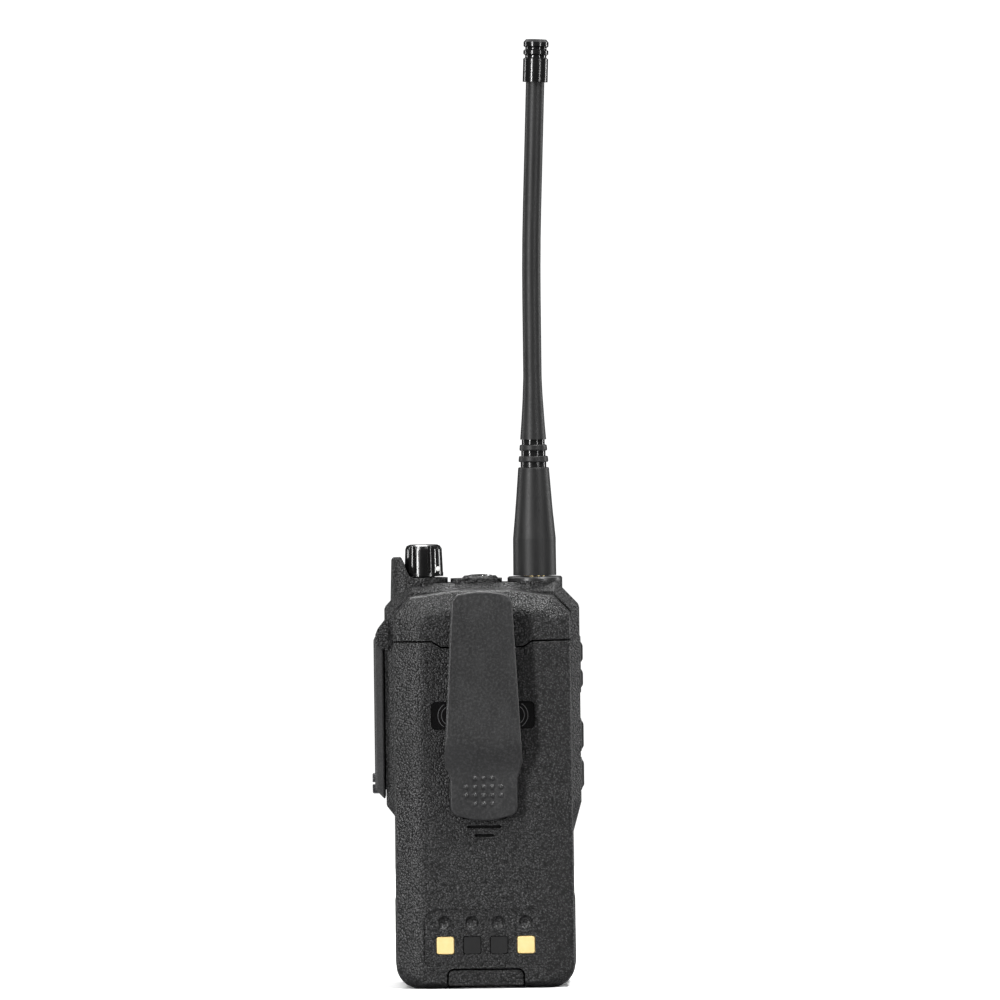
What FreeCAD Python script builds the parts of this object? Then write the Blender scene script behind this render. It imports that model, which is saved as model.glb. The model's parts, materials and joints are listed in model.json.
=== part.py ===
import FreeCAD, Part
import math
import os

# Handheld two-way radio with a screw-on antenna, a slide-on battery pack and a sprung belt clip.
# Millimetres.  +Z is up, the display and keys face -Y, the belt clip is on +Y, and the push-to-talk
# key is on -X.  The origin is on the flat base that the radio stands on.

V = FreeCAD.Vector

# ---------------------------------------------------------------- driving dimensions
GAP = 0.25                      # gap each side of a seam between two casings
WALL = 2.0                      # casing wall

BASE_HALF = 26.3                # half width at the foot
WAIST_HALF = 25.9               # half width of the narrow lower grip
CHEST_HALF = 28.4               # half width from the side keys upwards
CASE_TOP = 117.0                # top face of the front casing
SHOULDER_Z = 110.0              # where the top corners start to slope in
SHOULDER_HALF = 21.7            # half width of the flat top
FOOT_R = 7.0                    # bottom corner radius

FRONT_Y = -19.5                 # front face
FRONT_BEVEL_Y = -14.0           # front face bevel ends here
REAR_BEVEL_Y = 1.0              # rear bevel starts here
REAR_Y = 4.0                    # back rim of the front casing
BEVEL = 2.5                     # how far the bevels come in

BACK_Y = 19.0                   # back plateau of battery and shoulder
BACK_EDGE_Y = 15.2              # where the back starts to curve in
BACK_LIP_Y = 16.0               # where the steep edge of the back ends and its sloping border starts
SEAM_Z = 100.6                  # battery to shoulder seam at the sides
SEAM_DIP = 1.7                  # the seam is this much lower in the middle
BAY_Y = REAR_Y + 0.3            # front of the battery
HOLLOW_Y = -0.6                 # the front casing's wide hollow ends here, at the rim's ledge

KNOB_X, KNOB_Y = 16.8, -5.0     # volume control axis
KNOB_R, KNOB_H = 5.7, 9.2
KNOB_LANDS, KNOB_TURN = 6, math.radians(85.0)
KNOB_FLUTE_R, KNOB_FLUTE_DEPTH = 1.9, 0.8
ANT_X, ANT_Y = -15.6, -5.0      # antenna axis
SEAT_TOP = 118.6                # top of the collars on the roof
TORCH_X, TORCH_Y, TORCH_R = 0.4, -5.0, 3.9
TORCH_TOP = CASE_TOP + 2.0      # top of the torch's collar
PLINTH_X, PLINTH_Y = (-6.0, 9.0), (-11.0, 1.2)
ANT_BASE = SEAT_TOP + 0.3       # underside of the antenna
ANT_TOP = 275.2
WHIP_R = 2.7
WHIP_BEND_Z = 200.0             # the whip is straight up to here
WHIP_BEND_R = 700.0
WHIP_LEAN = math.radians(2.1)   # then leans out towards -X

PORT_Y = -6.5                   # middle of the accessory port
COVER_IN, COVER_OUT = 28.7, 31.7
COVER_PIVOT_Z = 100.3
SCREW_Z = 58.6                  # captive screw in the port cover
JACK_BIG_Z, JACK_SMALL_Z = 84.5, 73.5
JACK_BIG_R, JACK_SMALL_R = 1.8, 1.3

CLIP_PIN_Y, CLIP_PIN_Z = 22.8, 107.5
CLIP_OUT_Y = 27.0               # outer face of the clip
CLIP_T = 2.3
CLIP_PIN_R = 1.0
LEAF_LOW, LEAF_HIGH = (22.0, 46.0), (23.4, 64.0)    # outer face of the clip's lower leaf, as (y, z)
LEAF_SLOPE = (LEAF_HIGH[0] - LEAF_LOW[0]) / (LEAF_HIGH[1] - LEAF_LOW[1])
DISH_Z, DISH_R, DISH_DEPTH = 57.4, 6.3, 0.35
DISH_BALL_R = (DISH_R**2 + DISH_DEPTH**2) / (2 * DISH_DEPTH)
DOT_PITCH, DOT_BALL_R, DOT_SUNK = 2.5, 0.9, 0.45

SCREW_R, SCREW_HEAD_R, SCREW_HEAD_H, SCREW_L = 1.25, 2.2, 1.2, 7.0
CASE_SCREWS = [(side * x, z) for side in (-1, 1) for x, z in ((17.5, 9.0), (19.5, 96.0))]
CLIP_SCREWS = [(-3.6, 101.8), (3.6, 101.8)]

KEY_W, KEY_H, KEY_R = 9.4, 7.6, 1.8
KEY_PITCH_X, KEY_PITCH_Z = 11.2, 10.5
KEY_ROW_Z = 54.0                # top row
KEY_GAP = 0.3                   # running gap round keys and side keys
MIC_X, MIC_Z = -12.0, 11.5
KEY_NAMES = [
    ["key_1", "key_2", "key_3", "key_menu"],
    ["key_4", "key_5", "key_6", "key_up"],
    ["key_7", "key_8", "key_9", "key_down"],
    ["key_star", "key_0", "key_hash", "key_exit"],
]

PTT_Z = (84.5, 101.0)
SIDE_KEY_UPPER_Z = (67.3, 76.9)
SIDE_KEY_LOWER_Z = (56.0, 65.5)
PTT_Y_RANGE = (-12.0, -2.0)
SIDE_KEY_Y_RANGE = (-11.0, -3.0)
SIDE_KEY_OUT = -29.3            # crown of the side keys
SIDE_TRAVEL = 0.8

SPEAKER_Z, SPEAKER_R = 98.5, 13.5
WINDOW_X, WINDOW_Z = 19.5, (62.5, 83.0)
VIEW_X, VIEW_Z = 16.5, (65.0, 80.5)
BOARD_Y = (-11.5, -10.3)

LABEL_X, LABEL_Z = 15.0, (75.1, 83.2)
PANEL_X, PANEL_Z, PANEL_DEPTH = 17.9, (6.4, 23.2), 0.5
CONTACT_Z, CONTACT_PITCH, CONTACT_W = 12.6, 7.8, 4.9
DIMPLE_Z, DIMPLE_R = 19.2, 2.0
LATCH_X, LATCH_Z = 10.9, (0.9, 5.5)

CLIP_SEAT_Y = BACK_Y + 0.02     # the clip bracket lies on the shoulder
HOOK_L = 8.0                    # hooks in the bay that hold the battery
HOOKS = [(x, z) for x in (-15.0, 15.0) for z in (20.0, 44.0, 68.0)]
BATTERY_TRAVEL = 12.0           # downward slide that frees the battery from the hooks


# ---------------------------------------------------------------- shape helpers
def box(x, y, z):
    """A block from three (low, high) pairs."""
    return Part.makeBox(x[1] - x[0], y[1] - y[0], z[1] - z[0], V(x[0], y[0], z[0]))


def rod(radius, start, end):
    """A cylinder between two points."""
    a, b = V(*start), V(*end)
    return Part.makeCylinder(radius, (b - a).Length, a, b - a)


def rounded_wire(points, radii):
    """A closed wire through coplanar points, with each corner rounded by a tangent arc."""
    n = len(points)
    radii = radii if isinstance(radii, (list, tuple)) else [radii] * n
    entries, exits, mids = [], [], []
    for i, p in enumerate(points):
        back = (points[i - 1] - p).normalize()
        ahead = (points[(i + 1) % n] - p).normalize()
        half = back.getAngle(ahead) / 2
        reach = radii[i] / math.tan(half)
        middle = (back + ahead).normalize()
        entries.append(p + back * reach)
        exits.append(p + ahead * reach)
        mids.append(p + middle * (radii[i] / math.sin(half) - radii[i]))
    edges = []
    for i in range(n):
        if radii[i] > 0:
            edges.append(Part.Arc(entries[i], mids[i], exits[i]).toShape())
        start, end = exits[i], entries[(i + 1) % n]
        if (end - start).Length > 1e-6:
            edges.append(Part.LineSegment(start, end).toShape())
    return Part.Wire(edges)


def prism_xz(points, radii, y):
    """A front-view outline, pulled along Y between the pair y."""
    wire = rounded_wire([V(px, y[0], pz) for px, pz in points], radii)
    return Part.Face(wire).extrude(V(0, y[1] - y[0], 0))


def prism_xy(points, radii, z):
    """A plan-view outline, pulled along Z between the pair z."""
    wire = rounded_wire([V(px, py, z[0]) for px, py in points], radii)
    return Part.Face(wire).extrude(V(0, 0, z[1] - z[0]))


def prism_yz(points, radii, x):
    """A side-view outline, pulled along X between the pair x."""
    wire = rounded_wire([V(x[0], py, pz) for py, pz in points], radii)
    return Part.Face(wire).extrude(V(x[1] - x[0], 0, 0))


def rectangle(a, b):
    """The corners of a rectangle from two (low, high) pairs."""
    return [(a[0], b[0]), (a[1], b[0]), (a[1], b[1]), (a[0], b[1])]


def inset(points, amounts):
    """An anticlockwise outline with each edge moved inwards; amounts is a number or one per edge."""
    n = len(points)
    amounts = amounts if isinstance(amounts, (list, tuple)) else [amounts] * n
    lines = []
    for i in range(n):
        (ax, az), (bx, bz) = points[i], points[(i + 1) % n]
        dx, dz = bx - ax, bz - az
        length = math.hypot(dx, dz)
        nx, nz = -dz / length, dx / length
        lines.append((ax + nx * amounts[i], az + nz * amounts[i], dx, dz))
    moved = []
    for i in range(n):
        ax, az, adx, adz = lines[i - 1]
        bx, bz, bdx, bdz = lines[i]
        cross = adx * bdz - adz * bdx
        t = ((bx - ax) * bdz - (bz - az) * bdx) / cross
        moved.append((ax + adx * t, az + adz * t))
    return moved


def loft_xz(low, high):
    """A straight-sided solid between two outlines, each given as (points, radii, y)."""
    wires = [
        rounded_wire([V(px, y, pz) for px, pz in points], radii)
        for points, radii, y in (low, high)
    ]
    return Part.makeLoft(wires, True, True)


def turned(profile, x, y):
    """A solid turned about the vertical axis through (x, y), from (radius, z) points."""
    points = [V(x + r, y, z) for r, z in profile]
    wire = Part.makePolygon(points + points[:1])
    return Part.Face(wire).revolve(V(x, y, 0), V(0, 0, 1), 360)


def fused(first, *others):
    """One solid from several that meet."""
    return first.multiFuse(list(others)).removeSplitter()


def cut(first, *others):
    """A solid with others taken away."""
    return first.cut(Part.makeCompound(list(others))).removeSplitter()


def edges_where(shape, test):
    """The edges whose middle point and bounding box pass a test."""
    found = []
    for edge in shape.Edges:
        middle = edge.valueAt((edge.FirstParameter + edge.LastParameter) / 2)
        if test(middle, edge.BoundBox):
            found.append(edge)
    return found


def coil(radius, wire_radius, pitch, turns, start, direction):
    """A round-wire helical spring along a direction."""
    helix = Part.makeHelix(pitch, pitch * turns, radius)
    across = V(0, 2 * math.pi * radius, pitch)
    section = Part.Wire([Part.makeCircle(wire_radius, V(radius, 0, 0), across)])
    spring = Part.Wire(helix.Edges).makePipeShell([section], True, True)
    spring.Placement = FreeCAD.Placement(
        V(*start), FreeCAD.Rotation(V(0, 0, 1), V(*direction))
    )
    return spring


# ---------------------------------------------------------------- casing outlines
CASE = [
    (BASE_HALF, 0.0), (BASE_HALF, 25.0), (WAIST_HALF, 26.4), (WAIST_HALF, 49.2),
    (CHEST_HALF, 52.4), (CHEST_HALF, SHOULDER_Z), (SHOULDER_HALF, CASE_TOP),
    (-SHOULDER_HALF, CASE_TOP), (-CHEST_HALF, SHOULDER_Z), (-CHEST_HALF, 53.0),
    (-WAIST_HALF, 44.0), (-WAIST_HALF, 26.4), (-BASE_HALF, 25.0), (-BASE_HALF, 0.0),
]


def case_radii(foot, other):
    """Corner radii for the casing outline: the feet, then all the rest."""
    return [foot] + [other] * (len(CASE) - 2) + [foot]


BACK = [
    (26.0, 0.0), (25.7, 108.3), (20.9, 113.4), (8.0, 115.2),
    (-8.0, 115.2), (-20.9, 113.4), (-25.7, 108.3), (-26.0, 0.0),
]
BACK_EDGE_INSET = 0.5
BACK_INSET = [6.6, 6.2, 5.2, 4.8, 5.2, 6.2, 6.6, 1.6]
BORDER = [(0.0, 0.0), (0.692, 0.688), (0.848, 0.823), (1.011, 0.921), (1.18, 0.98), (1.351, 1.0)]
SEAM = [(-11.9, SEAM_Z - SEAM_DIP), (-14.5, SEAM_Z), (14.5, SEAM_Z), (11.9, SEAM_Z - SEAM_DIP)]
FAR = 40.0


def back_body():
    """The rounded back of the radio, battery and shoulder in one, from the bay to the plateau.

    BORDER gives the sloping border's section as shares of its inset and of its rise; it ends in an arc.
    """
    edge = inset(BACK, BACK_EDGE_INSET)
    radii = [FOOT_R, 1.2, 1.2, 6.0, 6.0, 1.2, 1.2, FOOT_R]
    edge_radii = [FOOT_R - BACK_EDGE_INSET, 1.0, 1.0, 5.5, 5.5, 1.0, 1.0, FOOT_R - BACK_EDGE_INSET]
    top_radii = [2.5, 0.6, 0.6, 3.0, 3.0, 0.6, 0.6, 2.5]
    rings = []
    for run, rise in BORDER:
        amounts = [BACK_EDGE_INSET + (full - BACK_EDGE_INSET) * run for full in BACK_INSET]
        corners = [max(0.4, a + (b - a) * run) for a, b in zip(edge_radii, top_radii)]
        rings.append((inset(BACK, amounts), corners, BACK_LIP_Y + (BACK_Y - BACK_LIP_Y) * rise))
    return fused(
        prism_xz(BACK, radii, (REAR_Y, BACK_EDGE_Y)),
        loft_xz((BACK, radii, BACK_EDGE_Y), (edge, edge_radii, BACK_LIP_Y)),
        *[loft_xz(low, high) for low, high in zip(rings, rings[1:])],
    )


def below_seam(drop):
    """The space under the battery seam; drop lowers it by half the seam's gap."""
    dip = SEAM_Z - SEAM_DIP - drop
    side = SEAM_Z - drop
    outline = [
        (-FAR, -1), (FAR, -1), (FAR, side), (14.5, side), (11.9, dip),
        (-11.9, dip), (-14.5, side), (-FAR, side),
    ]
    return prism_xz(outline, 0, (REAR_Y - 5, BACK_Y + 5))


# ---------------------------------------------------------------- front casing
def key_centres():
    """Each keypad key's name with its X and Z."""
    for row, names in enumerate(KEY_NAMES):
        for column, name in enumerate(names):
            yield name, (column - 1.5) * KEY_PITCH_X, KEY_ROW_Z - row * KEY_PITCH_Z


def key_outline(x, z, grow):
    """The corners of one key, made larger by grow."""
    w, h = KEY_W / 2 + grow, KEY_H / 2 + grow
    return rectangle((x - w, x + w), (z - h, z + h))


def speaker_slots():
    """Horizontal slots that fill a circle in front of the speaker."""
    pitch, height, reach = 3.1, 1.5, SPEAKER_R - 0.5
    slots = []
    for row in range(-3, 4):
        half = math.sqrt(reach**2 - (row * pitch) ** 2)
        z = SPEAKER_Z + row * pitch
        corners = rectangle((-half, half), (z - height / 2, z + height / 2))
        slots.append(prism_xz(corners, height / 2 - 0.01, (FRONT_Y - 1, FRONT_Y + 3)))
    return slots


def knob_guard():
    """The horn of casing that shields the outer side of the knob."""
    side = prism_xz(
        [(14.0, 112.0), (26.7, 108.0), (26.2, 124.5), (23.5, 124.5), (20.9, 119.0), (17.5, 117.4)],
        [0.5, 0.5, 0.8, 0.8, 3.0, 2.0],
        (KNOB_Y - 8.0, KNOB_Y + 7.0),
    )
    plan = prism_xy(
        rectangle((10.0, 26.8), (KNOB_Y - 8.0, KNOB_Y + 7.0)), [0.5, 5.0, 5.0, 0.5], (107.0, 126.0)
    )
    well = rod(KNOB_R + 1.1, (KNOB_X, KNOB_Y, SEAT_TOP), (KNOB_X, KNOB_Y, 130.0))
    return side.common(plan).cut(well)


def port_fairing():
    """The hood above the port cover, the rail along its front and the two ears with its hinge pegs."""
    low, high = PORT_Y - 7.0, PORT_Y + 7.0
    hood = prism_xz(
        [(27.0, 102.5), (30.7, 102.5), (30.7, 103.4), (28.2, 106.6), (27.0, 106.6)],
        [0.2, 0.4, 0.8, 0.8, 0.2],
        (low - 1.6, high + 1.6),
    )
    rail = prism_xz(
        [(26.8, 53.8), (29.6, 57.6), (29.6, 98.2), (26.8, 98.2)], [0, 0.8, 0, 0], (low - 1.5, low - 0.3)
    )
    pieces = [hood, rail]
    pivot_x = (COVER_IN + COVER_OUT) / 2
    for side, face in ((-1, low), (1, high)):
        ear_y = sorted((face + side * 0.3, face + side * 1.6))
        ear = [(26.8, 97.8), (28.2, 97.8), (31.1, 99.4), (31.1, 103.0), (26.8, 103.0)]
        pieces.append(prism_xz(ear, [0, 0.8, 1.2, 0.8, 0], ear_y))
        peg_end = face - side * 1.0
        pieces.append(
            rod(0.75, (pivot_x, face + side * 0.4, COVER_PIVOT_Z), (pivot_x, peg_end, COVER_PIVOT_Z))
        )
    return pieces


def front_shell():
    """The front casing: bevelled tray with openings for window, keys, speaker, port and roof fittings."""
    full = case_radii(FOOT_R, 1.6)
    rear = (inset(CASE, BEVEL), case_radii(FOOT_R - BEVEL, 1.2), REAR_Y)
    front = (inset(CASE, 3.0), case_radii(FOOT_R - 3.0, 1.2), FRONT_Y)
    shell = fused(
        loft_xz((CASE, full, REAR_BEVEL_Y), rear),
        prism_xz(CASE, full, (FRONT_BEVEL_Y, REAR_BEVEL_Y)),
        loft_xz(front, (CASE, full, FRONT_BEVEL_Y)),
    )
    front_rim = edges_where(shell, lambda m, b: b.YMax < FRONT_Y + 0.01)
    shell = shell.makeFillet(1.2, front_rim)
    collar = rod(7.0, (KNOB_X, KNOB_Y, 110), (KNOB_X, KNOB_Y, SEAT_TOP))
    boss = rod(8.0, (ANT_X, ANT_Y, 108), (ANT_X, ANT_Y, SEAT_TOP - 1.3))
    plinth = prism_xy(rectangle(PLINTH_X, PLINTH_Y), 2.5, (114, CASE_TOP + 1.2))
    torch_base = turned(
        [(0, 114.0), (TORCH_R + 1.3, 114.0), (TORCH_R + 1.3, TORCH_TOP - 0.6),
         (TORCH_R + 0.7, TORCH_TOP), (0, TORCH_TOP)],
        TORCH_X, TORCH_Y,
    )
    shell = fused(shell, collar, boss, plinth, torch_base, knob_guard(), *port_fairing())

    hollow = prism_xz(inset(CASE, WALL), case_radii(FOOT_R - WALL, 0.8), (FRONT_Y + WALL, HOLLOW_Y))
    ledge = prism_xz(inset(CASE, 6.0), case_radii(1.5, 0.5), (-1.0, 1.3))
    mouth = prism_xz(inset(CASE, 4.5), case_radii(2.5, 0.8), (1.2, REAR_Y + 1))
    shell = cut(shell, hollow, ledge, mouth)

    holes = speaker_slots()
    for _, x, z in key_centres():
        holes.append(prism_xz(key_outline(x, z, KEY_GAP), KEY_R + KEY_GAP, (FRONT_Y - 1, FRONT_Y + 3)))
    holes.append(prism_xz(rectangle((-WINDOW_X, WINDOW_X), WINDOW_Z), 2.0, (FRONT_Y - 1, FRONT_Y + 1.3)))
    holes.append(prism_xz(rectangle((-VIEW_X, VIEW_X), VIEW_Z), 1.0, (FRONT_Y - 1, FRONT_Y + 3)))
    holes.append(rod(0.6, (MIC_X, FRONT_Y - 1, MIC_Z), (MIC_X, FRONT_Y + 3, MIC_Z)))
    for y, z in side_key_places():
        holes.append(prism_yz(rectangle((y[0], y[1]), (z[0], z[1])), 2.0, (-FAR, -24.0)))
    holes.append(prism_yz(rectangle((PORT_Y - 3.7, PORT_Y + 3.7), (66.0, 92.0)), 2.0, (24.0, COVER_IN)))
    holes.append(rod(1.75, (24.0, PORT_Y, SCREW_Z), (COVER_IN, PORT_Y, SCREW_Z)))
    holes.append(rod(3.45, (KNOB_X, KNOB_Y, 112), (KNOB_X, KNOB_Y, SEAT_TOP + 1)))
    holes.append(rod(3.25, (ANT_X, ANT_Y, 112), (ANT_X, ANT_Y, SEAT_TOP + 1)))
    holes.append(rod(TORCH_R + 0.15, (TORCH_X, TORCH_Y, 112), (TORCH_X, TORCH_Y, TORCH_TOP + 1)))
    holes.append(box((-4.4, 4.4), (2.4, REAR_Y + 1), (-1.0, 5.4)))
    shell = cut(shell, *holes)

    posts = []
    for x, z in CASE_SCREWS:
        post = rod(2.6, (x, FRONT_Y + 1.5, z), (x, REAR_BEVEL_Y + 0.9, z))
        posts.append(post.cut(rod(SCREW_R + 0.05, (x, -6.0, z), (x, 3.0, z))))
    return fused(shell, *posts)


def side_key_places():
    """The Y and Z range of each opening in the left wall, with its running gap."""
    gap = KEY_GAP
    for y, z in (
        (PTT_Y_RANGE, PTT_Z),
        (SIDE_KEY_Y_RANGE, SIDE_KEY_UPPER_Z),
        (SIDE_KEY_Y_RANGE, SIDE_KEY_LOWER_Z),
    ):
        yield (y[0] - gap, y[1] + gap), (z[0] - gap, z[1] + gap)


# ---------------------------------------------------------------- rear casing and seals
def rear_shell():
    """The back plate of the battery bay with the shoulder above it."""
    plate = prism_xz(inset(CASE, 4.5 + GAP), case_radii(2.3, 0.8), (2.0, REAR_Y))
    shoulder = back_body().cut(below_seam(-GAP))
    room = prism_xz(
        [(-22.6, 103.2), (22.6, 103.2), (22.6, 107.4), (19.6, 110.8), (-19.6, 110.8), (-22.6, 107.4)],
        0.8, (1.0, 14.6),
    )
    bosses = [rod(2.8, (x, 6.0, z), (x, 16.0, z)) for x, z in CLIP_SCREWS]
    shell = fused(plate, shoulder).cut(room.cut(Part.makeCompound(bosses)))
    hooks = []
    for x, z in HOOKS:
        hooks.append(box((x - 1.0, x + 1.0), (REAR_Y - 0.5, REAR_Y + 1.5), (z, z + HOOK_L)))
        hooks.append(box((x - 2.0, x + 2.0), (REAR_Y + 1.4, REAR_Y + 2.4), (z, z + HOOK_L)))
    shell = fused(shell, *hooks)
    holes = [rod(SCREW_R + 0.1, (x, 1.0, z), (x, 5.0, z)) for x, z in CASE_SCREWS]
    holes += [rod(SCREW_HEAD_R + 0.1, (x, 2.7, z), (x, 5.0, z)) for x, z in CASE_SCREWS]
    holes += [rod(SCREW_R + 0.05, (x, 11.0, z), (x, BACK_Y + 1, z)) for x, z in CLIP_SCREWS]
    holes.append(box((-11.0, 11.0), (1.0, 5.0), (83.0, 91.0)))
    return cut(shell, *holes)


def case_seals():
    """The perimeter gasket between the casings and the ring seal round the volume shaft."""
    outer = prism_xz(inset(CASE, 4.7), case_radii(2.2, 0.7), (1.22, 1.96))
    inner = prism_xz(inset(CASE, 5.8), case_radii(1.4, 0.5), (1.0, 2.2))
    ring = Part.makeTorus(2.8, 0.42, V(KNOB_X, KNOB_Y, SEAT_TOP + 0.04))
    return Part.makeCompound([outer.cut(inner), ring])


def screws():
    """Four casing screws in the battery bay and two that hold the clip bracket."""
    made = []
    seats = [(x, z, REAR_Y - 0.05) for x, z in CASE_SCREWS]
    seats += [(x, z, CLIP_SEAT_Y + 1.6 + SCREW_HEAD_H + 0.02) for x, z in CLIP_SCREWS]
    for x, z, top in seats:
        under = top - SCREW_HEAD_H
        head = rod(SCREW_HEAD_R, (x, under, z), (x, top, z))
        shank = rod(SCREW_R, (x, under - SCREW_L, z), (x, under + 0.2, z))
        slots = [
            box((x - 1.5, x + 1.5), (top - 0.7, top + 1), (z - 0.25, z + 0.25)),
            box((x - 0.25, x + 0.25), (top - 0.7, top + 1), (z - 1.5, z + 1.5)),
        ]
        made.append(cut(fused(head, shank), *slots))
    return Part.makeCompound(made)


# ---------------------------------------------------------------- display, keypad and audio
def display_window():
    """The clear cover that lies in the recess over the display."""
    pane = prism_xz(
        rectangle((-WINDOW_X + 0.1, WINDOW_X - 0.1), (WINDOW_Z[0] + 0.1, WINDOW_Z[1] - 0.1)),
        1.9, (FRONT_Y + 0.1, FRONT_Y + 1.28),
    )
    return pane.makeFillet(0.3, edges_where(pane, lambda m, b: b.YMax < FRONT_Y + 0.11))


def display_module():
    """The liquid crystal panel and its backlight frame."""
    frame = box((-18.5, 18.5), (FRONT_Y + 2.1, -12.0), (63.3, 82.3))
    rebate = box((-VIEW_X, VIEW_X), (FRONT_Y + 1.0, FRONT_Y + 2.5), VIEW_Z)
    return frame.cut(rebate)


def keypad_key(x, z):
    """One key: domed cap, retaining flange and the stem that presses its dome."""
    cap = prism_xz(key_outline(x, z, 0.0), KEY_R, (FRONT_Y - 0.9, FRONT_Y + 2.4))
    cap = cap.makeFillet(0.55, edges_where(cap, lambda m, b: b.YMax < FRONT_Y - 0.89))
    flange = prism_xz(key_outline(x, z, 0.7), KEY_R + 0.7, (FRONT_Y + 2.3, FRONT_Y + 3.1))
    stem = rod(1.6, (x, FRONT_Y + 2.9, z), (x, BOARD_Y[0] - 1.5, z))
    return fused(cap, flange, stem)


def keypad_dome_sheet():
    """The flexible sheet with a snap dome under each key."""
    sheet = prism_xz(rectangle((-22.0, 22.0), (17.5, 59.0)), 1.0, (BOARD_Y[0] - 0.35, BOARD_Y[0] - 0.02))
    domes = [
        rod(2.2, (x, BOARD_Y[0] - 0.6, z), (x, BOARD_Y[0] - 0.2, z)) for _, x, z in key_centres()
    ]
    return fused(sheet, *domes)


def speaker():
    """The loudspeaker: frame with a shallow cone, and the magnet can behind."""
    front = FRONT_Y + WALL + 0.1
    frame = rod(SPEAKER_R, (0, front, SPEAKER_Z), (0, front + 2.6, SPEAKER_Z))
    magnet = rod(7.0, (0, front + 2.5, SPEAKER_Z), (0, front + 5.4, SPEAKER_Z))
    cone = Part.makeCone(
        SPEAKER_R - 1.2, 3.0, 1.6, V(0, front - 0.001, SPEAKER_Z), V(0, 1, 0)
    )
    return cut(fused(frame, magnet), cone)


def microphone():
    """The electret capsule behind its pinhole."""
    return rod(2.2, (MIC_X, FRONT_Y + WALL + 0.1, MIC_Z), (MIC_X, -14.5, MIC_Z))


# ---------------------------------------------------------------- electronics
def main_board():
    """The printed circuit board that carries the domes, display and connectors."""
    board = prism_xz(rectangle((-22.4, 22.4), (13.0, 92.0)), 1.5, BOARD_Y)
    chips = [
        box((-18, -8), (BOARD_Y[1] - 0.1, BOARD_Y[1] + 1.0), (70, 80)),
        box((8, 15), (BOARD_Y[1] - 0.1, BOARD_Y[1] + 0.8), (18, 25)),
    ]
    return fused(board, *chips)


def shield_can():
    """The pressed screening can over the radio stages."""
    y = (BOARD_Y[1] + 0.02, BOARD_Y[1] + 3.4)
    outer = prism_xz(rectangle((-19.0, 14.0), (30.0, 66.0)), 1.0, y)
    inner = prism_xz(rectangle((-18.7, 13.7), (30.3, 65.7)), 0.7, (y[0] - 1, y[1] - 0.3))
    return outer.cut(inner)


def volume_control():
    """The switch and potentiometer, with the bushing that passes through the roof."""
    body = box((KNOB_X - 4.6, KNOB_X + 4.6), (KNOB_Y - 5.0, KNOB_Y + 4.2), (102.0, 113.8))
    bushing = rod(3.4, (KNOB_X, KNOB_Y, 113.6), (KNOB_X, KNOB_Y, SEAT_TOP - 0.4))
    shaft_hole = rod(2.05, (KNOB_X, KNOB_Y, 105), (KNOB_X, KNOB_Y, 120))
    return cut(fused(body, bushing), shaft_hole)


def volume_shaft():
    """The control's steel shaft, flattened on one side where it enters the knob."""
    shaft = rod(2.0, (KNOB_X, KNOB_Y, 105.2), (KNOB_X, KNOB_Y, 126.4))
    flat = box((KNOB_X + 1.3, KNOB_X + 3), (KNOB_Y - 3, KNOB_Y + 3), (120.0, 127.0))
    return shaft.cut(flat)


def volume_knob():
    """The fluted knob, slightly tapered, with six broad lands and a blind D bore."""
    low, high = SEAT_TOP + 0.4, SEAT_TOP + 0.4 + KNOB_H
    knob = turned(
        [(0, low), (KNOB_R, low), (KNOB_R, low + 0.6), (KNOB_R - 0.3, high - 1.3),
         (KNOB_R - 0.75, high - 0.4), (KNOB_R - 1.7, high), (0, high)],
        KNOB_X, KNOB_Y,
    )
    flutes = []
    reach, lean = KNOB_R + KNOB_FLUTE_R - KNOB_FLUTE_DEPTH, 0.3
    for i in range(KNOB_LANDS):
        a = KNOB_TURN + 2 * math.pi * (i + 0.5) / KNOB_LANDS
        x, y = KNOB_X + reach * math.cos(a), KNOB_Y + reach * math.sin(a)
        top = (x - lean * math.cos(a), y - lean * math.sin(a), high + 0.5)
        flutes.append(rod(KNOB_FLUTE_R, (x, y, low + 1.1), top))
    bore = rod(2.03, (KNOB_X, KNOB_Y, low - 1), (KNOB_X, KNOB_Y, 126.6))
    key = box((KNOB_X + 1.35, KNOB_X + 3), (KNOB_Y - 3, KNOB_Y + 3), (120.5, 127.0))
    skirt = rod(4.2, (KNOB_X, KNOB_Y, low - 1), (KNOB_X, KNOB_Y, low + 1.2))
    return cut(knob, *flutes, bore.cut(key), skirt)


def torch_lens():
    """The clear domed window of the torch, with its retaining flange under the roof, flat at the ledge."""
    low, roof, crown = 114.2, 114.95, TORCH_TOP - 0.2
    dome = turned(
        [(0, low), (TORCH_R, low), (TORCH_R, crown), (TORCH_R - 0.4, crown + 0.3),
         (TORCH_R - 1.4, crown + 0.5), (0, crown + 0.6)],
        TORCH_X, TORCH_Y,
    )
    flange = rod(TORCH_R + 0.9, (TORCH_X, TORCH_Y, low), (TORCH_X, TORCH_Y, roof))
    return fused(dome, flange.common(box((-FAR, FAR), (-FAR, HOLLOW_Y - 0.15), (low, roof))))


def torch_led():
    """The torch's light-emitting diode on its small board."""
    board = box((TORCH_X - 4.5, TORCH_X + 4.5), (TORCH_Y - 4, TORCH_Y + 4), (110.6, 111.6))
    lamp = turned([(0, 111.5), (1.5, 111.5), (1.5, 112.8), (1.0, 113.6), (0, 113.9)], TORCH_X, TORCH_Y)
    return fused(board, lamp)


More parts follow.
